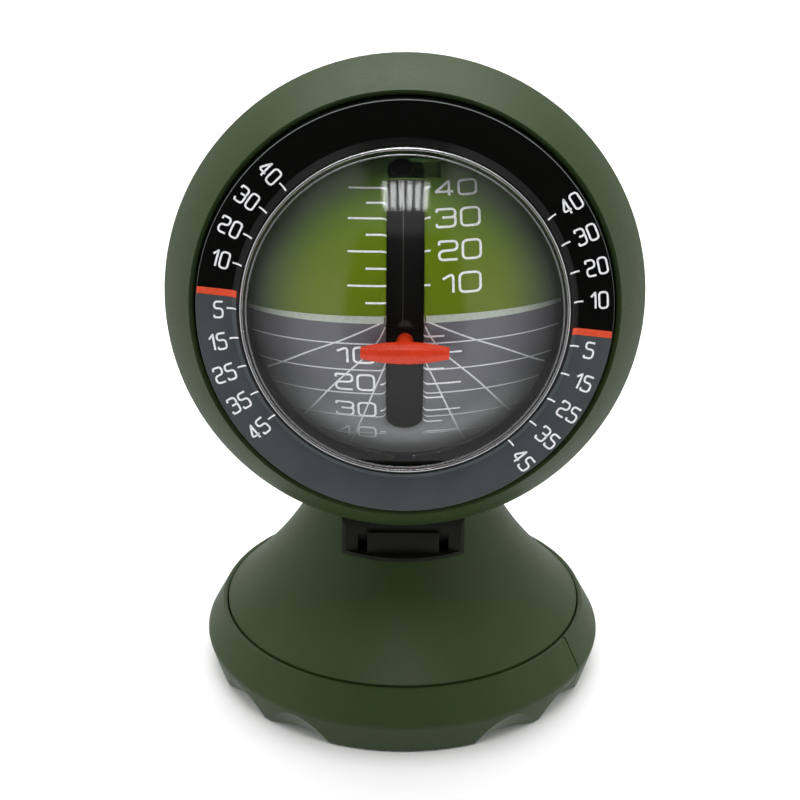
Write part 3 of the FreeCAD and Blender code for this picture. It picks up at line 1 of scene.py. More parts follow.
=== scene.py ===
"""Looks of a dashboard inclinometer: finishes, printed scales and studio round the fixed frame."""
from __future__ import annotations

import json
import logging
import math
from dataclasses import dataclass, field
from enum import Enum
from typing import Callable, Iterable, Sequence

import bmesh
import bpy
from mathutils import Matrix, Vector


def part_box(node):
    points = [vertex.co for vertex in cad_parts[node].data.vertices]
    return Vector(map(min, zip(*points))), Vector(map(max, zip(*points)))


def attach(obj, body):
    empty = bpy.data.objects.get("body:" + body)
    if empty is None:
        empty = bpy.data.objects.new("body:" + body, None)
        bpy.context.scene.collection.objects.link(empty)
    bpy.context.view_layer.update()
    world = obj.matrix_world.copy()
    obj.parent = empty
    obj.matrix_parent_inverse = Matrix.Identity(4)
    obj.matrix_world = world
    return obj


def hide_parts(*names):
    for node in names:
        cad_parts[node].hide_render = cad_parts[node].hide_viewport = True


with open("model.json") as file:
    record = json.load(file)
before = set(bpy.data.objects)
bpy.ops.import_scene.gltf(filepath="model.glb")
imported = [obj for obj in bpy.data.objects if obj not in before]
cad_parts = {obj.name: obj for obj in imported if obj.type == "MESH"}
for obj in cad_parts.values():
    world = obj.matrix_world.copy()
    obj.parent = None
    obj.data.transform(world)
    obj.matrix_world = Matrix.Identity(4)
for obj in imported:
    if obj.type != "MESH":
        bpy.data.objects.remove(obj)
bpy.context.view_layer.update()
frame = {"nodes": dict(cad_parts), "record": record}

log = logging.getLogger("inclinometer")

MM = 0.001
HEAD_LEAN = 8.5
SHARP_ANGLE = 35.0
Point = tuple[float, float]
Run = tuple[Sequence[Point], float, bool]
Surface = Callable[[float, float, float], Vector]


class Body(Enum):
    """The rigid bodies that pieces ride on."""

    FOOT = "foot"
    TURNTABLE = "turntable"
    HEAD = "head"
    BEZEL_SET = "bezel_set"
    ROLL_BALL = "roll_ball"
    PENDULUM = "pendulum"


class Side(Enum):
    """Which side of the face a mark stands on."""

    LEFT = -1
    RIGHT = 1


def shade(red: int, green: int, blue: int) -> tuple[float, float, float, float]:
    """Turn a colour as seen on a screen into the shader's light values.

    Args:
        red: 0 to 255.
        green: 0 to 255.
        blue: 0 to 255.

    Returns:
        The colour with full opacity.
    """
    parts = []
    for value in (red, green, blue):
        part = value / 255
        parts.append(part / 12.92 if part <= 0.04045 else ((part + 0.055) / 1.055) ** 2.4)
    return (parts[0], parts[1], parts[2], 1.0)


def scaled(colour: Sequence[float], share: float) -> tuple[float, ...]:
    """A light value times a share, with full opacity."""
    return tuple(part * share for part in colour[:3]) + (1.0,)


def pivot_of(joint_name: str) -> Vector:
    """The place of a joint of the frame.

    Args:
        joint_name: The joint's name in the record.

    Returns:
        Its place in metres.
    """
    for joint in frame["record"]["behaviour"]["joints"]:
        if joint["name"] == joint_name:
            return Vector(joint["pos_m"])
    raise KeyError(joint_name)


def spline(points: Sequence[Point], steps: int = 8) -> list[Point]:
    """Run a smooth line through points.

    Args:
        points: The points in order.
        steps: How many runs stand between two of them.

    Returns:
        The denser line.
    """
    path = [Vector(point) for point in points]
    path = [path[0] * 2 - path[1]] + path + [path[-1] * 2 - path[-2]]
    result = []
    for a, b, c, d in zip(path, path[1:], path[2:], path[3:]):
        for step in range(steps):
            t = step / steps
            bend = (a * 2 - b * 5 + c * 4 - d) * t ** 2
            twist = (b * 3 - a - c * 3 + d) * t ** 3
            spot = (b * 2 + (c - a) * t + bend + twist) / 2
            result.append((spot.x, spot.y))
    return result + [tuple(points[-1])]


@dataclass(frozen=True)
class Seat:
    """Where a sub-assembly's own millimetres stand in the world.

    Its Z runs out of the face, its Y up the face and its X to the reader's right.
    """

    centre: Vector
    lean: float

    def matrix(self) -> Matrix:
        """The change from own millimetres to world metres."""
        turn = Matrix.Rotation(math.radians(90 - self.lean), 4, "X")
        return Matrix.Translation(self.centre) @ turn @ Matrix.Scale(MM, 4)

    def up(self) -> Vector:
        """The direction up the face."""
        lean = math.radians(self.lean)
        return Vector((0, math.sin(lean), math.cos(lean)))

    def outward(self) -> Vector:
        """The direction out of the face."""
        lean = math.radians(self.lean)
        return Vector((0, -math.cos(lean), math.sin(lean)))


class Graph:
    """A small builder of shader nodes."""

    def __init__(self, tree: bpy.types.NodeTree) -> None:
        """Take an empty node tree.

        Args:
            tree: The tree of a material or of the surroundings.
        """
        self.tree = tree
        self.tree.nodes.clear()

    def add(self, kind: str, **settings: object) -> bpy.types.Node:
        """Add a node.

        Args:
            kind: The node's type.
            settings: Its properties.

        Returns:
            The node.
        """
        node = self.tree.nodes.new(kind)
        for name, value in settings.items():
            setattr(node, name, value)
        return node

    def link(self, source: bpy.types.NodeSocket, target: bpy.types.NodeSocket) -> None:
        """Join two sockets."""
        self.tree.links.new(source, target)

    def feed(self, node: bpy.types.Node, name: str | int, value: object) -> None:
        """Give an input a link, a colour or a number.

        Args:
            node: The node that takes it.
            name: The input's name or index.
            value: A socket or a plain value.
        """
        if isinstance(value, bpy.types.NodeSocket):
            self.link(value, node.inputs[name])
        else:
            node.inputs[name].default_value = value

    def math(self, operation: str, first: object, second: object = 0.0) -> bpy.types.NodeSocket:
        """A sum, product or other step on values.

        Args:
            operation: The math node's operation.
            first: The first value.
            second: The second value.

        Returns:
            The result.
        """
        node = self.add("ShaderNodeMath", operation=operation)
        self.feed(node, 0, first)
        self.feed(node, 1, second)
        return node.outputs[0]

    def ramp(self, value: bpy.types.NodeSocket, low: float, high: float, out_low: float = 0.0,
             out_high: float = 1.0, smooth: bool = True) -> bpy.types.NodeSocket:
        """Map a span of a value to another span.

        Args:
            value: The socket to map.
            low: Where the span starts.
            high: Where it ends.
            out_low: The result at the start.
            out_high: The result at the end.
            smooth: Whether the change eases in and out.

        Returns:
            The mapped value.
        """
        node = self.add("ShaderNodeMapRange", interpolation_type="SMOOTHSTEP" if smooth else "LINEAR")
        self.feed(node, "Value", value)
        self.feed(node, "From Min", low)
        self.feed(node, "From Max", high)
        self.feed(node, "To Min", out_low)
        self.feed(node, "To Max", out_high)
        return node.outputs["Result"]

    def mix(self, share: object, first: object, second: object) -> bpy.types.NodeSocket:
        """Blend two colours.

        Args:
            share: How much of the second colour.
            first: The first colour.
            second: The second colour.

        Returns:
            The blended colour.
        """
        node = self.add("ShaderNodeMix", data_type="RGBA")
        self.feed(node, 0, share)
        self.feed(node, 6, first)
        self.feed(node, 7, second)
        return node.outputs[2]


class Shader(Graph):
    """A builder of node materials."""

    def __init__(self, name: str) -> None:
        """Start an empty material.

        Args:
            name: The material's name.
        """
        self.material = bpy.data.materials.new(name)
        self.material.use_nodes = True
        super().__init__(self.material.node_tree)
        self.output = self.add("ShaderNodeOutputMaterial")
        self.place = self.add("ShaderNodeTexCoord").outputs["Object"]

    def noise(self, size_mm: float, detail: float = 3.0,
              stretch: Sequence[float] = (1, 1, 1)) -> bpy.types.NodeSocket:
        """Cloudy variation of a given grain.

        Args:
            size_mm: Width of a grain.
            detail: How rough the grain is.
            stretch: Scale along each axis.

        Returns:
            A value from 0 to 1.
        """
        mapping = self.add("ShaderNodeMapping")
        self.feed(mapping, "Vector", self.place)
        mapping.inputs["Scale"].default_value = stretch
        texture = self.add("ShaderNodeTexNoise")
        self.feed(texture, "Vector", mapping.outputs["Vector"])
        self.feed(texture, "Scale", 1 / (size_mm * MM))
        self.feed(texture, "Detail", detail)
        return texture.outputs["Fac"]

    def along(self, direction: Vector, origin: Vector) -> bpy.types.NodeSocket:
        """How far a point lies from an origin along a direction, in metres.

        Args:
            direction: A unit vector.
            origin: Where the distance is zero.

        Returns:
            The distance.
        """
        shifted = self.add("ShaderNodeVectorMath", operation="SUBTRACT")
        self.feed(shifted, 0, self.place)
        shifted.inputs[1].default_value = origin
        product = self.add("ShaderNodeVectorMath", operation="DOT_PRODUCT")
        self.feed(product, 0, shifted.outputs[0])
        product.inputs[1].default_value = direction
        return product.outputs["Value"]

    def reach(self, origin: Vector) -> bpy.types.NodeSocket:
        """How far a point lies from an origin, in metres.

        Args:
            origin: Where the distance is zero.

        Returns:
            The distance.
        """
        node = self.add("ShaderNodeVectorMath", operation="DISTANCE")
        self.feed(node, 0, self.place)
        node.inputs[1].default_value = origin
        return node.outputs["Value"]

    def off_axis(self, direction: Vector, origin: Vector) -> bpy.types.NodeSocket:
        """How far a point lies from an axis, in metres.

        Args:
            direction: The axis, a unit vector.
            origin: A place on it.

        Returns:
            The distance.
        """
        depth = self.along(direction, origin)
        reach = self.reach(origin)
        reach_square = self.math("MULTIPLY", reach, reach)
        depth_square = self.math("MULTIPLY", depth, depth)
        squares = self.math("SUBTRACT", reach_square, depth_square)
        return self.math("SQRT", self.math("MAXIMUM", squares, 0.0))

    def bump(self, height: bpy.types.NodeSocket, depth_mm: float) -> bpy.types.NodeSocket:
        """Surface relief.

        Args:
            height: A value from 0 to 1.
            depth_mm: How deep the relief is.

        Returns:
            The bent normal.
        """
        node = self.add("ShaderNodeBump")
        self.feed(node, "Strength", 1.0)
        self.feed(node, "Distance", depth_mm * MM)
        self.feed(node, "Height", height)
        return node.outputs["Normal"]

    def surface(self, colour: object, roughness: object, metallic: float = 0.0, specular: float = 0.5,
                normal: bpy.types.NodeSocket | None = None) -> bpy.types.Material:
        """Finish the material with one shader.

        Args:
            colour: Base colour.
            roughness: 0 for polished, 1 for dull.
            metallic: 1 for metal.
            specular: How strongly a plain surface shines.
            normal: The bent normal.

        Returns:
            The finished material.
        """
        shader = self.add("ShaderNodeBsdfPrincipled")
        self.feed(shader, "Base Color", colour)
        self.feed(shader, "Roughness", roughness)
        shader.inputs["Metallic"].default_value = metallic
        shader.inputs["Specular IOR Level"].default_value = specular
        if normal is not None:
            self.link(normal, shader.inputs["Normal"])
        self.link(shader.outputs[0], self.output.inputs[0])
        return self.material


@dataclass(frozen=True)
class MouldedPlastic:
    """Moulded plastic with a fine grain."""

    name: str
    colour: tuple[int, int, int]
    roughness: float
    grain_mm: float = 0.35
    grain_depth_mm: float = 0.02
    tint: float = 0.08
    specular: float = 0.5

    def material(self) -> bpy.types.Material:
        """Build the plastic's material.

        Returns:
            The finished material.
        """
        shader = Shader(self.name)
        base = shade(*self.colour)
        darker = scaled(base, 1 - self.tint)
        paler = scaled(base, 1 + self.tint)
        clouds = shader.ramp(shader.noise(9.0, 2.0), 0.35, 0.65)
        colour = shader.mix(clouds, darker, paler)
        fine = shader.noise(self.grain_mm, 4.0)
        rough = shader.ramp(fine, 0.3, 0.7, self.roughness - 0.05, self.roughness + 0.06)
        return shader.surface(colour, rough, specular=self.specular,
                              normal=shader.bump(fine, self.grain_depth_mm))


@dataclass(frozen=True)
class TurnedMetal:
    """Bare metal with fine turning marks."""

    name: str
    colour: tuple[int, int, int]
    roughness: float
    marks_mm: float = 0.25

    def material(self) -> bpy.types.Material:
        """Build the metal's material.

        Returns:
            The finished material.
        """
        shader = Shader(self.name)
        marks = shader.noise(self.marks_mm, 2.0, (1.0, 0.1, 1.0))
        dull = shader.noise(4.0, 3.0)
        rough = shader.ramp(dull, 0.3, 0.7, self.roughness - 0.06, self.roughness + 0.1)
        base = shade(*self.colour)
        worn = scaled(base, 0.8)
        colour = shader.mix(shader.ramp(dull, 0.4, 0.75), base, worn)
        return shader.surface(colour, rough, metallic=1.0, normal=shader.bump(marks, 0.01))


@dataclass(frozen=True)
class FoamRubber:
    """Closed-cell foam or soft rubber."""

    name: str
    colour: tuple[int, int, int]
    cell_mm: float
    depth_mm: float

    def material(self) -> bpy.types.Material:
        """Build the foam's material.

        Returns:
            The finished material.
        """
        shader = Shader(self.name)
        cells = shader.add("ShaderNodeTexVoronoi")
        shader.feed(cells, "Vector", shader.place)
        shader.feed(cells, "Scale", 1 / (self.cell_mm * MM))
        height = cells.outputs["Distance"]
        base = shade(*self.colour)
        dark = scaled(base, 0.55)
        return shader.surface(shader.mix(height, dark, base), 0.85, specular=0.3,
                              normal=shader.bump(height, self.depth_mm))


@dataclass(frozen=True)
class Ink:
    """Screen-printed ink."""

    name: str
    colour: tuple[int, int, int]
    roughness: float = 0.45

    def material(self) -> bpy.types.Material:
        """Build the ink's material.

        Returns:
            The finished material.
        """
        shader = Shader(self.name)
        patches = shader.noise(0.5, 3.0)
        base = shade(*self.colour)
        thin = scaled(base, 0.86)
        colour = shader.mix(shader.ramp(patches, 0.35, 0.6), thin, base)
        return shader.surface(colour, self.roughness, normal=shader.bump(patches, 0.004))


@dataclass(frozen=True)
class DialPaint:
    """The dial's two halves, split along a line through its middle, with a painted highlight ring at the
    outer print edge and black inside the inner print edge as painted shade.
    """

    name: str
    upper: tuple[int, int, int]
    lower: tuple[int, int, int]
    worn: tuple[int, int, int]
    turn: float
    bare: float
    edge: float

    def material(self, seat: Seat) -> bpy.types.Material:
        """Build the dial's material.

        Args:
            seat: The head's seat.

        Returns:
            The material.
        """
        shader = Shader(self.name)
        turn = math.radians(self.turn)
        split = seat.up() * math.cos(turn) + Vector((1, 0, 0)) * math.sin(turn)
        height = shader.along(split, seat.centre)
        share = shader.ramp(height, -0.00005, 0.00005, smooth=False)
        fine = shader.noise(0.25, 3.0)
        grey = shade(*self.lower)
        lower = shader.mix(shader.ramp(shader.noise(5.0), 0.3, 0.7), grey, scaled(grey, 0.9))
        colour = shader.mix(share, lower, shade(*self.upper))
        radius = shader.off_axis(seat.outward(), seat.centre)
        # Painted highlight: a pale ring just past the print's outer edge; further out the bevel is black like
        # the upper half.
        edge = self.edge * MM
        past = shader.ramp(radius, edge, edge + 0.00004, smooth=False)
        colour = shader.mix(past, colour, shade(*self.worn))
        past = shader.ramp(radius, edge + 0.0001, edge + 0.00016, smooth=False)
        colour = shader.mix(past, colour, shade(*self.upper))
        # Painted shade: inside the print's inner edge the dial is black, which stands for the shaded gap by
        # the dome; the print stops there as well.
        bare = self.bare * MM
        past = shader.ramp(radius, bare - 0.00004, bare + 0.00004, smooth=False)
        colour = shader.mix(past, shade(*self.upper), colour)
        rough = shader.ramp(fine, 0.3, 0.7, 0.2, 0.27)
        return shader.surface(colour, rough, specular=0.22, normal=shader.bump(fine, 0.002))


@dataclass(frozen=True)
class BallPaint:
    """The ball's printed sky and ground, with painted light and shade: the sky pales to a painted sheen
    towards the rim, the ground is darkened towards the rim (painted shade) but lighter low down and much
    paler at the lower rim (painted light), and past the print's edge and inside the slot a dark colour stands
    partly for shade.
    """

    name: str
    radius: float
    bare: tuple[int, int, int]
    sky_low: tuple[int, int, int] = (95, 112, 8)
    sky_high: tuple[int, int, int] = (90, 121, 12)
    ground_high: tuple[int, int, int] = (100, 99, 107)
    ground_low: tuple[int, int, int] = (114, 115, 118)
    ground_rim: tuple[int, int, int] = (182, 183, 186)
    sky_rim: tuple[int, int, int] = (84, 108, 66)
    print_roll: float = 1.5
    print_low: float = 23.45
    rim_shade: float = 0.8

    def material(self, seat: Seat) -> bpy.types.Material:
        """Build the ball's material.

        Args:
            seat: The head's seat.

        Returns:
            The material.
        """
        shader = Shader(self.name)
        roll = math.radians(self.print_roll)
        height = shader.along(seat.up() * math.cos(roll) - Vector((1, 0, 0)) * math.sin(roll), seat.centre)
        reach = shader.reach(seat.centre)
        size = self.radius * MM
        # Sky and ground change colour with height; the ground is painted lighter low down, which is painted
        # light.
        rise = shader.ramp(height, 0.0, size * 0.85)
        sky = shader.mix(rise, shade(*self.sky_low), shade(*self.sky_high))
        rise = shader.ramp(height, -size * 0.8, 0.0)
        ground = shader.mix(rise, shade(*self.ground_low), shade(*self.ground_high))
        radius = shader.off_axis(seat.outward(), seat.centre)
        # Painted sheen: the sky pales and greys towards the rim.
        sky = shader.mix(shader.ramp(radius, size * 0.5, size * 0.84), sky, shade(*self.sky_rim))
        # Painted shade, then painted light: the ground darkens towards the rim, and out at the lower rim it
        # turns much paler.
        ground = self.dim(shader, ground, shader.ramp(radius, size * 0.3, size * 0.84, 1.0, self.rim_shade))
        outwards = shader.ramp(radius, size * 0.55, size * 0.82)
        downwards = shader.ramp(height, -size * 0.3, -size * 0.62)
        outer = shader.math("MULTIPLY", outwards, downwards)
        ground = shader.mix(outer, ground, shade(*self.ground_rim))
        colour = shader.mix(shader.ramp(height, -0.00002, 0.00002, smooth=False), ground, sky)
        # Painted shade as well as unprinted surface: past the print's lower edge and deep in the slot and
        # notch the ball takes the dark colour.
        edge = -self.print_low * MM
        printed = shader.ramp(height, edge - 0.00003, edge + 0.00003, smooth=False)
        outside = shader.ramp(reach, size - 0.00078, size - 0.00074, smooth=False)
        colour = shader.mix(shader.math("MULTIPLY", printed, outside), shade(*self.bare), colour)
        fine = shader.noise(0.4, 3.0)
        rough = shader.ramp(fine, 0.3, 0.7, 0.4, 0.5)
        return shader.surface(colour, rough, specular=0.12, normal=shader.bump(fine, 0.0015))

    def dim(self, shader: Shader, colour: bpy.types.NodeSocket,
            share: bpy.types.NodeSocket) -> bpy.types.NodeSocket:
        """Darken a colour by a share that changes over the surface.

        Args:
            shader: The material's builder.
            colour: The colour.
            share: What it is multiplied by.

        Returns:
            The darker colour.
        """
        node = shader.add("ShaderNodeMix", data_type="RGBA", blend_type="MULTIPLY")
        node.inputs[0].default_value = 1.0
        shader.link(colour, node.inputs[6])
        shader.link(share, node.inputs[7])
        return node.outputs[2]


@dataclass(frozen=True)
class ClearPlastic:
    """Thin clear plastic that light passes straight through."""

    name: str
    mirror: float = 0.022

    def material(self) -> bpy.types.Material:
        """Build the clear material.

        Returns:
            The finished material.
        """
        shader = Shader(self.name)
        clear = shader.add("ShaderNodeBsdfTransparent")
        clear.inputs["Color"].default_value = (0.985, 0.99, 0.985, 1.0)
        gloss = shader.add("ShaderNodeBsdfGlossy")
        gloss.inputs["Color"].default_value = (1.0, 1.0, 1.0, 1.0)
        gloss.inputs["Roughness"].default_value = 0.07
        facing = shader.add("ShaderNodeLayerWeight")
        facing.inputs["Blend"].default_value = 0.5
        steep = shader.math("POWER", facing.outputs["Facing"], 5.0)
        share = shader.math("ADD", shader.math("MULTIPLY", steep, 1.0 - self.mirror), self.mirror)
        blend = shader.add("ShaderNodeMixShader")
        shader.link(share, blend.inputs[0])
        shader.link(clear.outputs[0], blend.inputs[1])
        shader.link(gloss.outputs[0], blend.inputs[2])
        shader.link(blend.outputs[0], shader.output.inputs[0])
        return shader.material


@dataclass(frozen=True)
class StrokeFont:
    """Squared figures drawn with one even stroke, in shares of their height."""

    width_share: float
    gap_share: float
    corner_share: float = 0.26

    def strokes(self, digit: str) -> tuple[float, list[tuple[list[Point], bool]]]:
        """The strokes of one figure.

        Args:
            digit: One of 0 to 5.

        Returns:
            The figure's width share and its strokes, each a list of points and whether it closes.
        """
        w = self.width_share
        if digit == "1":
            return 0.6 * w, [([(0.6 * w, 0.0), (0.6 * w, 1.0), (0.1 * w, 0.72)], False)]
        shapes = {
            "0": [([(0, 0), (w, 0), (w, 1), (0, 1)], True)],
            "2": [([(0, 0.8), (0, 1), (w, 1), (w, 0.52), (0, 0.48), (0, 0), (w, 0)], False)],
            "3": [([(0, 0.82), (0, 1), (w, 1), (w, 0.53), (0.3 * w, 0.53)], False),
                  ([(w * 0.8, 0.53), (w, 0.53), (w, 0), (0, 0), (0, 0.18)], False)],
            "4": [([(w * 0.76, 0), (w * 0.76, 1), (0, 0.26), (w, 0.26)], False)],
            "5": [([(w, 1), (0, 1), (0, 0.57), (w, 0.57), (w, 0), (0, 0), (0, 0.16)], False)],
        }
        return w, shapes[digit]

    def rounded(self, points: Sequence[Point], closed: bool) -> list[Point]:
        """Round the corners of a stroke.

        Args:
            points: The stroke's corners.
            closed: Whether it joins its own start.

        Returns:
            The stroke with an arc of short runs at each corner.
        """
        count = len(points)
        result: list[Point] = []
        for place, point in enumerate(points):
            if not closed and place in (0, count - 1):
                result.append(point)
                continue
            here = Vector(point)
            back = Vector(points[place - 1]) - here
            ahead = Vector(points[(place + 1) % count]) - here
            widest = self.corner_share * min(1.0, self.width_share / 0.6)
            cut = min(widest, back.length * 0.48, ahead.length * 0.48)
            if abs(back.normalized().cross(ahead.normalized())) < 0.8:
                cut *= 0.2
            start = here + back.normalized() * cut
            end = here + ahead.normalized() * cut
            for step in range(7):
                share = step / 6
                spot = start.lerp(here, share).lerp(here.lerp(end, share), share)
                result.append((spot.x, spot.y))
        return result

    def word(self, text: str, height: float) -> tuple[float, list[tuple[list[Point], bool]]]:
        """Lay out a number.

        Args:
            text: Its figures.
            height: Figure height in millimetres.

        Returns:
            The number's width and its strokes, in millimetres.
        """
        pen = 0.0
        strokes: list[tuple[list[Point], bool]] = []
        for digit in text:
            width, shapes = self.strokes(digit)
            for points, closed in shapes:
                moved = [((x + pen) * height, y * height) for x, y in self.rounded(points, closed)]
                strokes.append((moved, closed))
            pen += width + self.gap_share
        return (pen - self.gap_share) * height, strokes


def stand(name: str, mesh: bpy.types.Mesh, body: Body, material: bpy.types.Material) -> bpy.types.Object:
    """Stand a mesh in the scene as a piece of a body.

    Args:
        name: The piece's name.
        mesh: Its mesh, in world metres.
        body: The body that it rides on.
        material: Its finish.

    Returns:
        The object.
    """
    piece = bpy.data.objects.new(name, mesh)
    bpy.context.scene.collection.objects.link(piece)
    mesh.materials.append(material)
    mesh.polygons.foreach_set("use_smooth", [True] * len(mesh.polygons))
    mesh.set_sharp_from_angle(angle=math.radians(SHARP_ANGLE))
    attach(piece, body.value)
    log.info("%s: %d faces on %s", name, len(mesh.polygons), body.value)
    return piece


@dataclass
class PrintLayer:
    """One colour of print: flat strips laid on a curved surface."""

    name: str
    surface: Surface
    lift: float = 0.03
    step: float = 0.5
    vertices: list[Vector] = field(default_factory=list)
    faces: list[tuple[int, ...]] = field(default_factory=list)

    def divide(self, points: Sequence[Point], closed: bool) -> list[Vector]:
        """Cut long runs short, so that a strip follows its surface.

        Args:
            points: The strip's path.
            closed: Whether it joins its own start.

        Returns:
            The denser path.
        """
        path = [Vector(point) for point in points]
        if closed:
            path.append(path[0])
        result = [path[0]]
        for start, end in zip(path, path[1:]):
            count = max(1, math.ceil((end - start).length / self.step))
            result.extend(start.lerp(end, part / count) for part in range(1, count + 1))
        return result[:-1] if closed else result

    def strip(self, points: Sequence[Point], width: float, closed: bool = False) -> None:
        """Lay a strip of even width.

        Args:
            points: Its middle line on the surface's own sheet, in millimetres.
            width: Its width.
            closed: Whether it joins its own start.
        """
        path = self.divide(points, closed)
        count = len(path)
        start = len(self.vertices)
        for place, here in enumerate(path):
            back = path[place - 1] if closed or place else here
            ahead = path[(place + 1) % count] if closed or place < count - 1 else here
            before = (here - back).normalized() if back is not here else (ahead - here).normalized()
            after = (ahead - here).normalized() if ahead is not here else before
            along = (before + after).normalized() if (before + after).length > 1e-6 else before
            side = Vector((-along.y, along.x))
            stretch = 1 / max(0.5, side.dot(Vector((-before.y, before.x))))
            for hand in (0.5, -0.5):
                spot = here + side * (hand * width * stretch)
                for level in (self.lift, -self.lift):
                    self.vertices.append(self.surface(spot.x, spot.y, level))
        spans = count if closed else count - 1
        for place in range(spans):
            a = start + place * 4
            b = start + ((place + 1) % count) * 4
            self.faces += [(a, b, b + 2, a + 2), (a + 3, b + 3, b + 1, a + 1),
                           (a + 1, b + 1, b, a), (a + 2, b + 2, b + 3, a + 3)]
        if not closed:
            last = start + (count - 1) * 4
            self.faces += [(start, start + 2, start + 3, start + 1), (last + 1, last + 3, last + 2, last)]

    def build(self, seat: Seat, body: Body, material: bpy.types.Material) -> bpy.types.Object:
        """Make the layer's object.

        Args:
            seat: Where its millimetres stand.
            body: The body that it rides on.
            material: Its ink.

        Returns:
            The object.
        """
        mesh = bpy.data.meshes.new(self.name)
        matrix = seat.matrix()
        mesh.from_pydata([matrix @ vertex for vertex in self.vertices], [], self.faces)
        mesh.validate()
        mesh.update()
        return stand(self.name, mesh, body, material)


@dataclass
class Slab:
    """A side outline carried straight across, with rounded edges."""

    name: str
    outline: Sequence[Point]
    half_width: float
    soft: float = 0.15

    def build(self, body: Body, material: bpy.types.Material) -> bpy.types.Object:
        """Make the slab in the foot's millimetres.

        Args:
            body: The body that it rides on.
            material: Its finish.

        Returns:
            The object.
        """
        mesh = bpy.data.meshes.new(self.name)
        work = bmesh.new()
        sides = []
        for x in (-self.half_width, self.half_width):
            sides.append([work.verts.new(Vector((x, y, z)) * MM) for y, z in self.outline])
        work.faces.new(sides[0])
        work.faces.new(list(reversed(sides[1])))
        for place in range(len(self.outline)):
            ahead = (place + 1) % len(self.outline)
            work.faces.new([sides[0][ahead], sides[0][place], sides[1][place], sides[1][ahead]])
        bmesh.ops.recalc_face_normals(work, faces=work.faces)
        bmesh.ops.bevel(work, geom=work.edges[:], offset=self.soft * MM, segments=3, profile=0.5,
                        affect="EDGES")
        work.to_mesh(mesh)
        work.free()
        return stand(self.name, mesh, body, material)


@dataclass
class Lathe:
    """A profile turned round its own Z."""

    name: str
    profile: Sequence[Point]
    closed: bool = False
    steps: int = 180

    def build(self, seat: Seat, body: Body, material: bpy.types.Material) -> bpy.types.Object:
        """Make the turned object.

        Args:
            seat: Where its millimetres stand.
            body: The body that it rides on.
            material: Its finish.

        Returns:
            The object.
        """
        mesh = bpy.data.meshes.new(self.name)
        work = bmesh.new()
        matrix = seat.matrix()
        rings = []
        for radius, depth in self.profile:
            if radius == 0:
                rings.append([work.verts.new(matrix @ Vector((0, 0, depth)))] * self.steps)
                continue
            turns = [math.tau * step / self.steps for step in range(self.steps)]
            spots = [Vector((radius * math.cos(t), radius * math.sin(t), depth)) for t in turns]
            rings.append([work.verts.new(matrix @ spot) for spot in spots])
        following = rings[1:] + rings[:1] if self.closed else rings[1:]
        for low, high in zip(rings, following):
            for step in range(self.steps):
                ahead = (step + 1) % self.steps
                corners = [low[step], low[ahead], high[ahead], high[step]]
                work.faces.new(list(dict.fromkeys(corners)))
        bmesh.ops.recalc_face_normals(work, faces=work.faces)
        work.to_mesh(mesh)
        work.free()
        return stand(self.name, mesh, body, material)


class Part:
    """What every sub-assembly shares."""

    body: Body

    def dress(self, finishes: dict[str, bpy.types.Material]) -> None:
        """Give frame nodes their finishes.

        Args:
            finishes: Node name to material.
        """
        for name, material in finishes.items():
            node = frame["nodes"][name]
            if not node.material_slots:
                node.data.materials.append(material)
            for slot in node.material_slots:
                slot.material = material
            log.info("%s wears %s", name, material.name)


@dataclass
class Shop:
    """The finishes that several sub-assemblies share."""

    green: bpy.types.Material
    black: bpy.types.Material
    hinge_black: bpy.types.Material
    steel: bpy.types.Material
    brass: bpy.types.Material
    rubber: bpy.types.Material
    foam: bpy.types.Material
    white: bpy.types.Material

    @classmethod
    def stock(cls) -> Shop:
        """Mix the shared finishes.

        Returns:
            The finishes.
        """
        return cls(
            green=MouldedPlastic("green_plastic", (46, 61, 30), 0.46, 0.3, 0.006, tint=0.03,
                                 specular=0.24).material(),
            black=MouldedPlastic("black_plastic", (22, 23, 22), 0.5).material(),
            hinge_black=MouldedPlastic("hinge_black", (25, 27, 22), 0.55, 0.4, 0.006,
                                       specular=0.2).material(),
            steel=TurnedMetal("steel", (190, 190, 192), 0.3).material(),
            brass=TurnedMetal("brass", (196, 160, 92), 0.34).material(),
            rubber=FoamRubber("rubber", (26, 26, 26), 0.3, 0.01).material(),
            foam=FoamRubber("foam", (38, 38, 38), 0.5, 0.06).material(),
            white=Ink("white_ink", (236, 237, 240)).material(),
        )


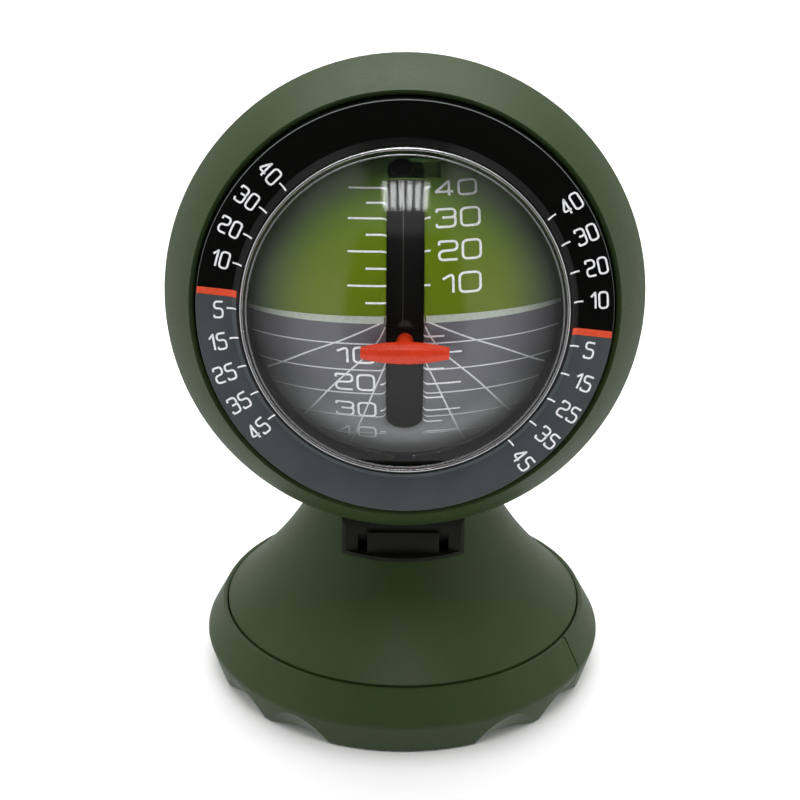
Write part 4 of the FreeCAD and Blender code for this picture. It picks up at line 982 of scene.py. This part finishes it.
@dataclass
class Foot(Part):
    """Pad, base plate, skirt ring and the swivel's fasteners."""

    lip_inner: float = 30.7
    lip_outer: float = 31.0
    lip_low: float = 9.6
    lip_high: float = 11.02
    lip_chamfer: float = 0.12
    edge_round: float = 0.22
    edge_steps: int = 5
    cut_ripple: float = 0.05

    body = Body.FOOT

    def build(self, shop: Shop) -> None:
        """Dress the foot, lay its foam pad and add the lip.

        Args:
            shop: The shared finishes.
        """
        self.dress({
            "base_plate": shop.black, "skirt_ring": shop.green, "swivel_washer": shop.steel,
            "swivel_screw": shop.steel,
        })
        self.pad(shop.foam)
        self.lip(shop.green)

    def lip(self, green: bpy.types.Material) -> None:
        """A thin lip inside the skirt's top that narrows the gap round the cone.

        Args:
            green: Its finish.
        """
        profile = [
            (self.lip_outer, self.lip_low), (self.lip_inner, self.lip_low),
            (self.lip_inner, self.lip_high - self.lip_chamfer),
            (self.lip_inner + self.lip_chamfer, self.lip_high), (self.lip_outer, self.lip_high),
        ]
        Lathe("skirt_lip", profile, closed=True).build(Seat(Vector((0, 0, 0)), 90.0), self.body, green)

    def pad(self, foam: bpy.types.Material) -> None:
        """A die-cut foam disc with soft edges, in the place of the plain pad.

        Args:
            foam: Its finish.
        """
        low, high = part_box("adhesive_pad")
        radius = (high[0] - low[0]) / 2 / MM
        thick = (high[2] - low[2]) / MM
        seat = Seat(Vector(((low[0] + high[0]) / 2, (low[1] + high[1]) / 2, low[2])), 90.0)
        soft = self.edge_round
        turns = [math.radians(90 * step / self.edge_steps) for step in range(self.edge_steps + 1)]
        lower = [(radius - soft + soft * math.sin(t), soft - soft * math.cos(t)) for t in turns]
        upper = [(radius - soft + soft * math.cos(t), thick - soft + soft * math.sin(t)) for t in turns]
        waist = [(radius - self.cut_ripple, thick * share) for share in (0.4, 0.5, 0.6)]
        profile = [(0, 0), (radius * 0.5, 0)] + lower + waist + upper + [(radius * 0.5, thick), (0, thick)]
        piece = Lathe("foam_pad", profile).build(seat, self.body, foam)
        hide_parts("adhesive_pad")


@dataclass
class Turntable(Part):
    """Cone, hinge socket and their fasteners."""

    nose_half: float = 5.85
    nose_front: float = -16.25
    nose_back: float = -15.5
    nose_low: float = 27.22
    nose_high: float = 30.9
    nose_slope: float = 0.3

    body = Body.TURNTABLE

    def build(self, shop: Shop) -> None:
        """Dress the turntable and fill the gap between the hinge's ears.

        Args:
            shop: The shared finishes.
        """
        self.dress({
            "swivel_disc": shop.black, "base_cone": shop.green, "cone_screws": shop.steel,
            "hinge_socket": shop.hinge_black, "socket_screws": shop.steel, "hinge_pin": shop.steel,
            "hinge_washers": shop.hinge_black,
        })
        outline = [
            (self.nose_front, self.nose_low), (self.nose_back, self.nose_low),
            (self.nose_back, self.nose_high), (self.nose_front + self.nose_slope, self.nose_high),
        ]
        Slab("hinge_nose", outline, self.nose_half).build(self.body, shop.hinge_black)


class HeadShell(Part):
    """Neck and rear housing."""

    body = Body.HEAD

    def build(self, shop: Shop) -> None:
        """Dress the head's shell.

        Args:
            shop: The shared finishes.
        """
        self.dress({
            "tilt_neck": shop.hinge_black, "neck_screws": shop.steel, "rear_housing": shop.green,
            "friction_ring": shop.rubber, "roll_bush": shop.brass,
        })


@dataclass
class BezelSet(Part):
    """Bezel, dial with its roll scale, and clear dome."""

    seat: Seat
    profile: tuple[Point, ...] = ((24.15, 23.18), (25.2, 22.2), (30.4, 22.2), (30.8, 19.9))
    near_left: float = 26.5
    near_right: float = 26.95
    lower_drop: float = 0.25
    turn: float = 6.05
    tick_inner: float = 24.5
    tick_outer: float = 25.9
    number_height: float = 2.34
    number_stroke: float = 0.29
    tick_width: float = 0.24
    print_inner: float = 24.5
    print_outer: float = 30.35
    zero_width: float = 1.0
    dome_radius: float = 33.35
    rim_place: float = 23.7
    rim_half: float = 0.27
    step_place: float = 22.95
    step_half: float = 0.13

    body = Body.BEZEL_SET

    def face(self, radius: float, angle: float, lift: float) -> Vector:
        """A place on the dial's face.

        Args:
            radius: From the head's axis.
            angle: From the reader's right, counter-clockwise, in degrees.
            lift: Above the face.

        Returns:
            The place in the head's millimetres.
        """
        depth = self.profile[-1][1]
        for (near, near_depth), (far, far_depth) in zip(self.profile, self.profile[1:]):
            if radius <= far:
                depth = near_depth + (far_depth - near_depth) * (radius - near) / (far - near)
                break
        turn = math.radians(angle - self.turn)
        return Vector((radius * math.cos(turn), radius * math.sin(turn), depth + lift))

    def sheet(self, side: Side, degrees: float) -> Surface:
        """The flat sheet beside one mark: across is away from the middle, up is up the face.

        Args:
            side: Which side of the dial.
            degrees: The mark's angle above the zero mark.

        Returns:
            A surface that takes distance from the axis and height.
        """
        def place(across: float, up: float, lift: float) -> Vector:
            angle = degrees + math.degrees(up / across)
            return self.face(across, angle if side is Side.RIGHT else 180 - angle, lift)
        return place

    def lay(self, layer: PrintLayer, side: Side, degrees: float, runs: Iterable[Run]) -> None:
        """Lay strips beside one mark.

        Args:
            layer: The print to add to.
            side: Which side of the dial.
            degrees: The mark's angle above the zero mark.
            runs: Paths, widths and whether each closes.
        """
        layer.surface = self.sheet(side, degrees)
        for path, width, closed in runs:
            layer.strip(path, width, closed)

    def build(self, shop: Shop) -> None:
        """Dress the bezel set and print its dial.

        Args:
            shop: The shared finishes.
        """
        # (104, 108, 108) is a painted highlight ring at the dial's outer edge; black inside the print's inner
        # edge is painted shade.
        paint = DialPaint("dial_paint", (9, 9, 8), (69, 74, 77), (104, 108, 108), self.turn, self.print_inner,
                          self.print_outer)
        self.dress({
            "bezel": shop.green, "lens_seal": shop.rubber, "lens_retainer": shop.black,
            "dome_lens": ClearPlastic("clear_dome").material(), "dial_ring": paint.material(self.seat),
        })
        self.print_scale(shop)
        # Painted reflection: bright metal beads at the dome's foot stand for the reflection lines on the
        # clear dome's moulded edge.
        rim_gloss = TurnedMetal("rim_gloss", (226, 228, 230), 0.2).material()
        self.rim("dome_rim", self.rim_place, self.rim_half, rim_gloss)
        step_gloss = TurnedMetal("step_gloss", (176, 178, 180), 0.24).material()
        self.rim("dome_step", self.step_place, self.step_half, step_gloss)

    def print_scale(self, shop: Shop) -> None:
        """Print the dial's ticks, numbers and zero marks.

        Args:
            shop: The shared finishes.
        """
        ticks = PrintLayer("dial_ticks", self.face)
        numbers = PrintLayer("dial_numbers", self.face)
        zeros = PrintLayer("dial_zero_marks", self.face)
        font = StrokeFont(0.525, 0.23)
        marks = [(value, str(value)) for value in (10, 20, 30, 40)]
        marks += [(-value, str(value)) for value in (5, 15, 25, 35, 45)]
        for side in Side:
            for degrees, text in marks:
                tick = [(self.tick_inner, 0.0), (self.tick_outer, 0.0)]
                self.lay(ticks, side, degrees, [(tick, self.tick_width, False)])
                width, strokes = font.word(text, self.number_height)
                drop = self.lower_drop if degrees < 0 else 0.0
                near = self.near_left if side is Side.LEFT else self.near_right
                middle = near + width / 2
                runs = []
                for path, closed in strokes:
                    moved = [(middle + side.value * (x - width / 2), y - self.number_height / 2 - drop)
                             for x, y in path]
                    runs.append((moved, self.number_stroke, closed))
                self.lay(numbers, side, degrees, runs)
            bar = [(self.print_inner, 0.0), (self.print_outer, 0.0)]
            self.lay(zeros, side, 0.0, [(bar, self.zero_width, False)])
        ticks.build(self.seat, self.body, shop.white)
        numbers.build(self.seat, self.body, shop.white)
        zeros.build(self.seat, self.body, Ink("orange_ink", (222, 68, 20)).material())

    def rim(self, name: str, radius: float, half: float, material: bpy.types.Material) -> None:
        """A thin moulded bead round the foot of the dome, finished as bright metal to give the reflection
        line of the clear dome's edge: a painted reflection.

        Args:
            name: The bead's name.
            radius: Its distance from the head's axis.
            half: Its half thickness.
            material: Its finish.
        """
        depth = math.sqrt(self.dome_radius ** 2 - radius ** 2)
        turns = [math.radians(angle) for angle in range(0, 360, 30)]
        profile = [(radius + half * math.cos(t), depth + half * math.sin(t)) for t in turns]
        Lathe(name, profile, closed=True).build(self.seat, self.body, material)


@dataclass(frozen=True)
class Label:
    """A number of the ball's artwork, in its millimetres."""

    text: str
    left: float
    right: float
    level: float
    height: float
    stroke: float


@dataclass
class RollBall(Part):
    """The printed ball: sky, horizon, ground grid, slot ticks and numbers."""

    seat: Seat
    radius: float = 27.7
    cap_angle: float = 58.0
    step: float = 0.5
    print_reach: float = 23.36
    print_roll: float = 1.5
    slot_half: float = 2.675
    lip: float = 0.9
    slot_top: float = 44.5
    slot_low: float = 42.0

    body = Body.ROLL_BALL

    def ground(self, x: float, pitch: float, lift: float) -> Vector:
        """A place on the ball.

        Args:
            x: To the right of its middle plane.
            pitch: Above its face point along the slot, as arc length.
            lift: Above the surface.

        Returns:
            The place in the head's millimetres.
        """
        angle = pitch / self.radius
        sink = 0.0
        inside = self.slot_half + self.lip - abs(x)
        if inside > 0 and -math.radians(self.slot_low) < angle < math.radians(self.slot_top):
            inside = min(inside, self.lip)
            sink = self.lip - math.sqrt(max(self.lip ** 2 - inside ** 2, 0.0))
        depth = math.sqrt(self.radius ** 2 - x ** 2) * math.cos(angle)
        if depth < self.radius * math.cos(math.radians(self.cap_angle)):
            sink = self.step
        size = self.radius + lift - sink
        side = max(-size, min(size, x))
        ring = math.sqrt(size ** 2 - side ** 2)
        return Vector((side, ring * math.sin(angle), ring * math.cos(angle)))

    def rolled(self, x: float, height: float) -> Point:
        """Where a place of the flat artwork lands on the ball's sheet.

        Args:
            x: To the right of the artwork's middle line.
            height: Above its horizon.

        Returns:
            Distance across and arc length along the slot.
        """
        turn = math.radians(self.print_roll)
        across = x * math.cos(turn) - height * math.sin(turn)
        up = x * math.sin(turn) + height * math.cos(turn)
        return (across, math.asin(up / math.sqrt(self.radius ** 2 - across ** 2)) * self.radius)

    def row(self, height: float, side: Side, far: float, near: float = 0.0) -> list[Point]:
        """A level line of the artwork from the slot's edge, or a distance off it, outwards.

        Args:
            height: Above the artwork's horizon.
            side: Which side of the slot.
            far: Where the line ends, off the slot's middle plane.
            near: Where it starts.

        Returns:
            The line on the ball's sheet.
        """
        turn = math.radians(self.print_roll)
        start, end = ((side.value * across + height * math.sin(turn)) / math.cos(turn)
                      for across in (near or self.slot_half + 0.02, far))
        return [self.rolled(start + (end - start) * part / 24, height) for part in range(25)]

    def outer(self, height: float) -> float:
        """How far out a level line runs before it reaches the print's edge."""
        return math.sqrt(self.print_reach ** 2 - height ** 2)

    def scale_ticks(self) -> PrintLayer:
        """Ticks beside the slot.

        Returns:
            The layer.
        """
        layer = PrintLayer("ball_ticks", self.ground)
        for degrees in range(5, 45, 5):
            major = degrees % 10 == 0
            above = self.radius * math.sin(math.radians(degrees * 1.01))
            below = -self.radius * math.sin(math.radians(degrees * 1.05))
            layer.strip(self.row(above, Side.LEFT, 8.25 if major else 5.65), 0.3)
            layer.strip(self.row(below, Side.RIGHT, 8.2 if major else 5.65), 0.26)
            if major:
                layer.strip(self.row(above, Side.RIGHT, 3.55), 0.3)
            if degrees in (20, 30, 40):
                layer.strip(self.row(below, Side.LEFT, 3.5), 0.26)
        return layer

    def scale_numbers(self) -> PrintLayer:
        """Numbers beside the ticks.

        Returns:
            The layer.
        """
        layer = PrintLayer("ball_numbers", self.ground)
        font = StrokeFont(0.84, 0.26)
        labels = [
            Label("10", 5.15, 10.88, 4.95, 2.68, 0.36), Label("20", 5.03, 11.0, 9.44, 2.48, 0.36),
            Label("30", 4.79, 10.96, 13.78, 2.32, 0.36), Label("40", 4.72, 10.6, 17.65, 1.85, 0.36),
            Label("10", -10.2, -4.54, -5.29, 2.36, 0.34), Label("20", -10.26, -4.66, -9.66, 2.47, 0.34),
            Label("30", -10.4, -4.63, -14.3, 2.35, 0.34), Label("40", -10.7, -4.75, -18.75, 2.0, 0.34),
        ]
        for label in labels:
            width, strokes = font.word(label.text, label.height)
            for path, closed in strokes:
                moved = [self.rolled(label.left + x * (label.right - label.left) / width,
                                     label.level + y - label.height / 2) for x, y in path]
                layer.strip(moved, label.stroke, closed)
        return layer

    def horizon(self) -> PrintLayer:
        """The pale horizon line.

        Returns:
            The layer.
        """
        layer = PrintLayer("ball_horizon", self.ground)
        for side in Side:
            layer.strip(self.row(0.0, side, self.outer(0.0)), 1.1)
        return layer

    def grid(self) -> PrintLayer:
        """Level ground lines and the fan of lines that meets at the horizon.

        Returns:
            The layer.
        """
        layer = PrintLayer("ball_grid", self.ground)
        for degrees in (7.4, 16.0, 24.5, 34.3, 43.0):
            height = -self.radius * math.sin(math.radians(degrees))
            for side in Side:
                layer.strip(self.row(height, side, self.outer(height)), 0.2)
        fans = [
            [(3.25, -0.35), (9.05, -3.05), (15.05, -5.8), (22.8, -10.35)],
            [(2.85, -1.1), (3.95, -3.1), (6.0, -5.65), (11.1, -10.85), (17.2, -18.9)],
            [(2.9, -6.65), (4.35, -10.0), (6.3, -15.0), (7.8, -19.0), (9.05, -22.5)],
        ]
        for fan in fans:
            for side in Side:
                path = [spot for spot in spline(fan) if math.hypot(*spot) < self.print_reach]
                layer.strip([self.rolled(side.value * x, height) for x, height in path], 0.22)
        return layer

    def build(self, shop: Shop) -> None:
        """Dress the ball and print it.

        Args:
            shop: The shared finishes.
        """
        # Both paints carry painted light and shade: a paler sky sheen and much paler ground at the rim,
        # ground darkened towards the rim, and a dark colour that partly stands for shade past the print and
        # in the slot.
        cap_paint = BallPaint("ball_paint", self.radius, (24, 34, 11))
        carrier_paint = BallPaint("carrier_paint", self.radius - self.step, (44, 45, 45),
                                  ground_rim=(226, 227, 230))
        self.dress({
            "horizon_cap": cap_paint.material(self.seat), "ball_carrier": carrier_paint.material(self.seat),
            "roll_axle": shop.steel, "roll_weight": shop.brass,
            "slot_bumper": FoamRubber("bumper_rubber", (9, 10, 7), 0.3, 0.006).material(),
        })
        self.scale_ticks().build(self.seat, self.body, shop.white)
        self.scale_numbers().build(self.seat, self.body, shop.white)
        self.horizon().build(self.seat, self.body, Ink("horizon_ink", (176, 182, 171)).material())
        self.grid().build(self.seat, self.body, Ink("grid_ink", (214, 215, 219)).material())


@dataclass
class Pendulum(Part):
    """Wheel, weights and pointer."""

    seat: Seat
    wheel_radius: float = 25.2
    line_places: tuple[float, float] = (-0.84, -0.32)
    line_width: float = 0.13
    line_rise: float = 0.05
    line_span: tuple[float, float] = (-2.0, 52.0)

    body = Body.PENDULUM

    def rim(self, x: float, along: float, lift: float) -> Vector:
        """A place on the wheel's rim, from its face point along the rim.

        Args:
            x: To the right of its middle plane.
            along: Arc length up from its face point.
            lift: Above the rim.

        Returns:
            The place in the head's millimetres.
        """
        angle = along / self.wheel_radius
        reach = self.wheel_radius + lift
        return Vector((x, reach * math.sin(angle), reach * math.cos(angle)))

    def build(self, shop: Shop) -> None:
        """Dress the pendulum and lay two slightly raised grey lines along the wheel's rim, which are painted
        highlights.

        Args:
            shop: The shared finishes.
        """
        black = MouldedPlastic("wheel_black", (10, 10, 9), 0.55, 0.6, 0.0004, specular=0.16).material()
        self.dress({
            "pitch_wheel": black, "pitch_pin": shop.steel, "pitch_weights": shop.brass,
            "pointer": MouldedPlastic("pointer_red", (218, 56, 22), 0.3, 0.3, 0.003, specular=0.3).material(),
        })
        # Painted highlights: two grey lines along the black wheel's rim.
        lines = PrintLayer("wheel_highlights", self.rim, lift=self.line_rise)
        start, end = (math.radians(angle) * self.wheel_radius for angle in self.line_span)
        for place in self.line_places:
            lines.strip([(place, start), (place, end)], self.line_width)
        grey = MouldedPlastic("wheel_highlight_grey", (52, 52, 46), 0.35, 0.35, 0.002).material()
        lines.build(self.seat, self.body, grey)


@dataclass
class Studio:
    """Floor, soft lights and camera."""

    target: Vector = field(default_factory=lambda: Vector((0.0, -5.59, 49.94)) * MM)
    distance: float = 261.9
    elevation: float = 23.42
    shift: float = -0.65
    roll: float = 0.34
    lens: float = 72.0
    bank: Vector = field(default_factory=lambda: Vector((0.0, -0.385, 0.905)))
    bank_width: float = 0.37
    bank_height: float = 0.23
    tubes: int = 6
    tube_share: float = 0.62
    tube_power: float = 0.33
    fill: Vector = field(default_factory=lambda: Vector((0.0, -0.05, 1.05)))
    fill_width: float = 0.9
    fill_power: float = 2.3
    side_reach: float = 0.85
    side_rise: float = 0.5
    side_width: float = 0.6
    side_power: float = 1.9
    floor_reach: float = 40.0
    floor_sides: int = 64

    def floor(self) -> None:
        """A wide pale floor."""
        shader = Shader("studio_floor")
        soft = shader.noise(400.0, 1.0)
        shader.surface(shader.mix(soft, (0.95, 0.95, 0.95, 1), (0.97, 0.97, 0.97, 1)), 0.9, specular=0.0)
        turns = [math.tau * step / self.floor_sides for step in range(self.floor_sides)]
        vertices = [(self.floor_reach * math.cos(t), self.floor_reach * math.sin(t), 0.0) for t in turns]
        faces = [tuple(range(self.floor_sides))]
        mesh = bpy.data.meshes.new("studio_floor")
        mesh.from_pydata(vertices, [], faces)
        mesh.materials.append(shader.material)
        mesh.polygons.foreach_set("use_smooth", [True] * len(faces))
        floor = bpy.data.objects.new("studio_floor", mesh)
        floor.visible_glossy = False
        bpy.context.scene.collection.objects.link(floor)

    def lamp(self, name: str, place: Vector, size: Point, power: float, aim_from: Vector) -> bpy.types.Object:
        """A soft light aimed at the head.

        Args:
            name: The light's name.
            place: Where it hangs, in metres.
            size: Its width and height in metres.
            power: Its strength in watts.
            aim_from: Where its aim is taken from. The tubes share one place, which keeps them parallel.

        Returns:
            The light.
        """
        data = bpy.data.lights.new(name, "AREA")
        data.shape = "RECTANGLE"
        data.size, data.size_y = size
        data.energy = power
        lamp = bpy.data.objects.new(name, data)
        lamp.location = place
        lamp.rotation_euler = (self.target - aim_from).to_track_quat("-Z", "Y").to_euler()
        bpy.context.scene.collection.objects.link(lamp)
        return lamp

    def lights(self) -> None:
        """A bank of soft tubes overhead, a wide fill above it and one at each side."""
        pitch = self.bank_width / self.tubes
        for place in range(self.tubes):
            across = Vector(((place - (self.tubes - 1) / 2) * pitch, 0, 0))
            size = (pitch * self.tube_share, self.bank_height)
            self.lamp(f"tube_{place + 1}", self.bank + across, size, self.tube_power, self.bank)
        size = (self.fill_width, self.fill_width)
        fills = [self.lamp("top_fill", self.fill, size, self.fill_power, self.fill)]
        size = (self.side_width, self.side_width)
        for side in Side:
            spot = Vector((side.value * self.side_reach, 0.0, self.side_rise))
            fills.append(self.lamp(f"{side.name.lower()}_fill", spot, size, self.side_power, spot))
        for fill in fills:
            fill.visible_glossy = False

    def surroundings(self) -> None:
        """Soft white all round, brightest behind the object, and dark in front where the camera stands."""
        world = bpy.data.worlds.new("studio")
        world.use_nodes = True
        graph = Graph(world.node_tree)
        split = graph.add("ShaderNodeSeparateXYZ")
        graph.link(graph.add("ShaderNodeTexCoord").outputs["Generated"], split.inputs[0])
        across, depth, rise = split.outputs
        front = graph.math("SUBTRACT", graph.math("MULTIPLY", depth, -0.65), graph.math("ABSOLUTE", across))
        patch = graph.ramp(front, -0.05, 0.08)
        patch = graph.math("MULTIPLY", patch, graph.ramp(rise, 0.76, 0.66))
        patch = graph.math("MULTIPLY", patch, graph.ramp(rise, -0.42, -0.3))
        power = graph.ramp(rise, 0.1, 0.6, 0.95, 0.6)
        above = graph.math("MULTIPLY", graph.ramp(depth, -0.36, -0.12), graph.ramp(rise, 0.35, 0.8))
        power = graph.math("ADD", power, graph.math("MULTIPLY", above, 0.5))
        gap = graph.math("MULTIPLY", graph.ramp(graph.math("ABSOLUTE", across), 0.38, 0.26),
                         graph.ramp(graph.math("ABSOLUTE", graph.math("ADD", depth, 0.1)), 0.32, 0.22))
        gap = graph.math("MULTIPLY", gap, graph.ramp(rise, 0.84, 0.92))
        power = graph.math("MULTIPLY", power, graph.ramp(gap, 0.0, 1.0, 1.0, 0.1, smooth=False))
        behind = graph.math("MULTIPLY", graph.ramp(depth, 0.05, 0.4), graph.ramp(rise, 0.6, 0.85))
        power = graph.math("ADD", power, graph.math("MULTIPLY", behind, 5.0))
        power = graph.math("MULTIPLY", power, graph.ramp(patch, 0.0, 1.0, 1.0, 0.04, smooth=False))
        background = graph.add("ShaderNodeBackground")
        graph.link(power, background.inputs["Strength"])
        graph.link(background.outputs[0], graph.add("ShaderNodeOutputWorld").inputs[0])
        bpy.context.scene.world = world

    def camera(self) -> None:
        """The camera at the photograph's angle."""
        data = bpy.data.cameras.new("camera")
        data.lens = self.lens
        data.sensor_width = 36.0
        data.clip_start = 0.01
        lift = math.radians(self.elevation)
        away = Vector((0, -math.cos(lift), math.sin(lift))) * self.distance * MM
        camera = bpy.data.objects.new("camera", data)
        aim = self.target + Vector((self.shift * MM, 0, 0))
        camera.location = aim + away
        turn = Matrix.Rotation(math.radians(self.roll), 3, "Z")
        camera.rotation_euler = ((-away).to_track_quat("-Z", "Y").to_matrix() @ turn).to_euler()
        bpy.context.scene.collection.objects.link(camera)
        bpy.context.scene.camera = camera

    def build(self) -> None:
        """Set up floor, lights, surroundings and camera, and show colours as they are."""
        self.floor()
        self.lights()
        self.surroundings()
        self.camera()
        bpy.context.scene.view_settings.view_transform = "Standard"


def main() -> None:
    """Build every sub-assembly in order."""
    logging.basicConfig(level=logging.INFO, format="%(name)s: %(message)s")
    shop = Shop.stock()
    seat = Seat(pivot_of("horizon_roll"), HEAD_LEAN)
    Foot().build(shop)
    Turntable().build(shop)
    HeadShell().build(shop)
    BezelSet(seat).build(shop)
    RollBall(seat).build(shop)
    Pendulum(seat).build(shop)
    Studio().build()


if __name__ == "__main__":
    main()
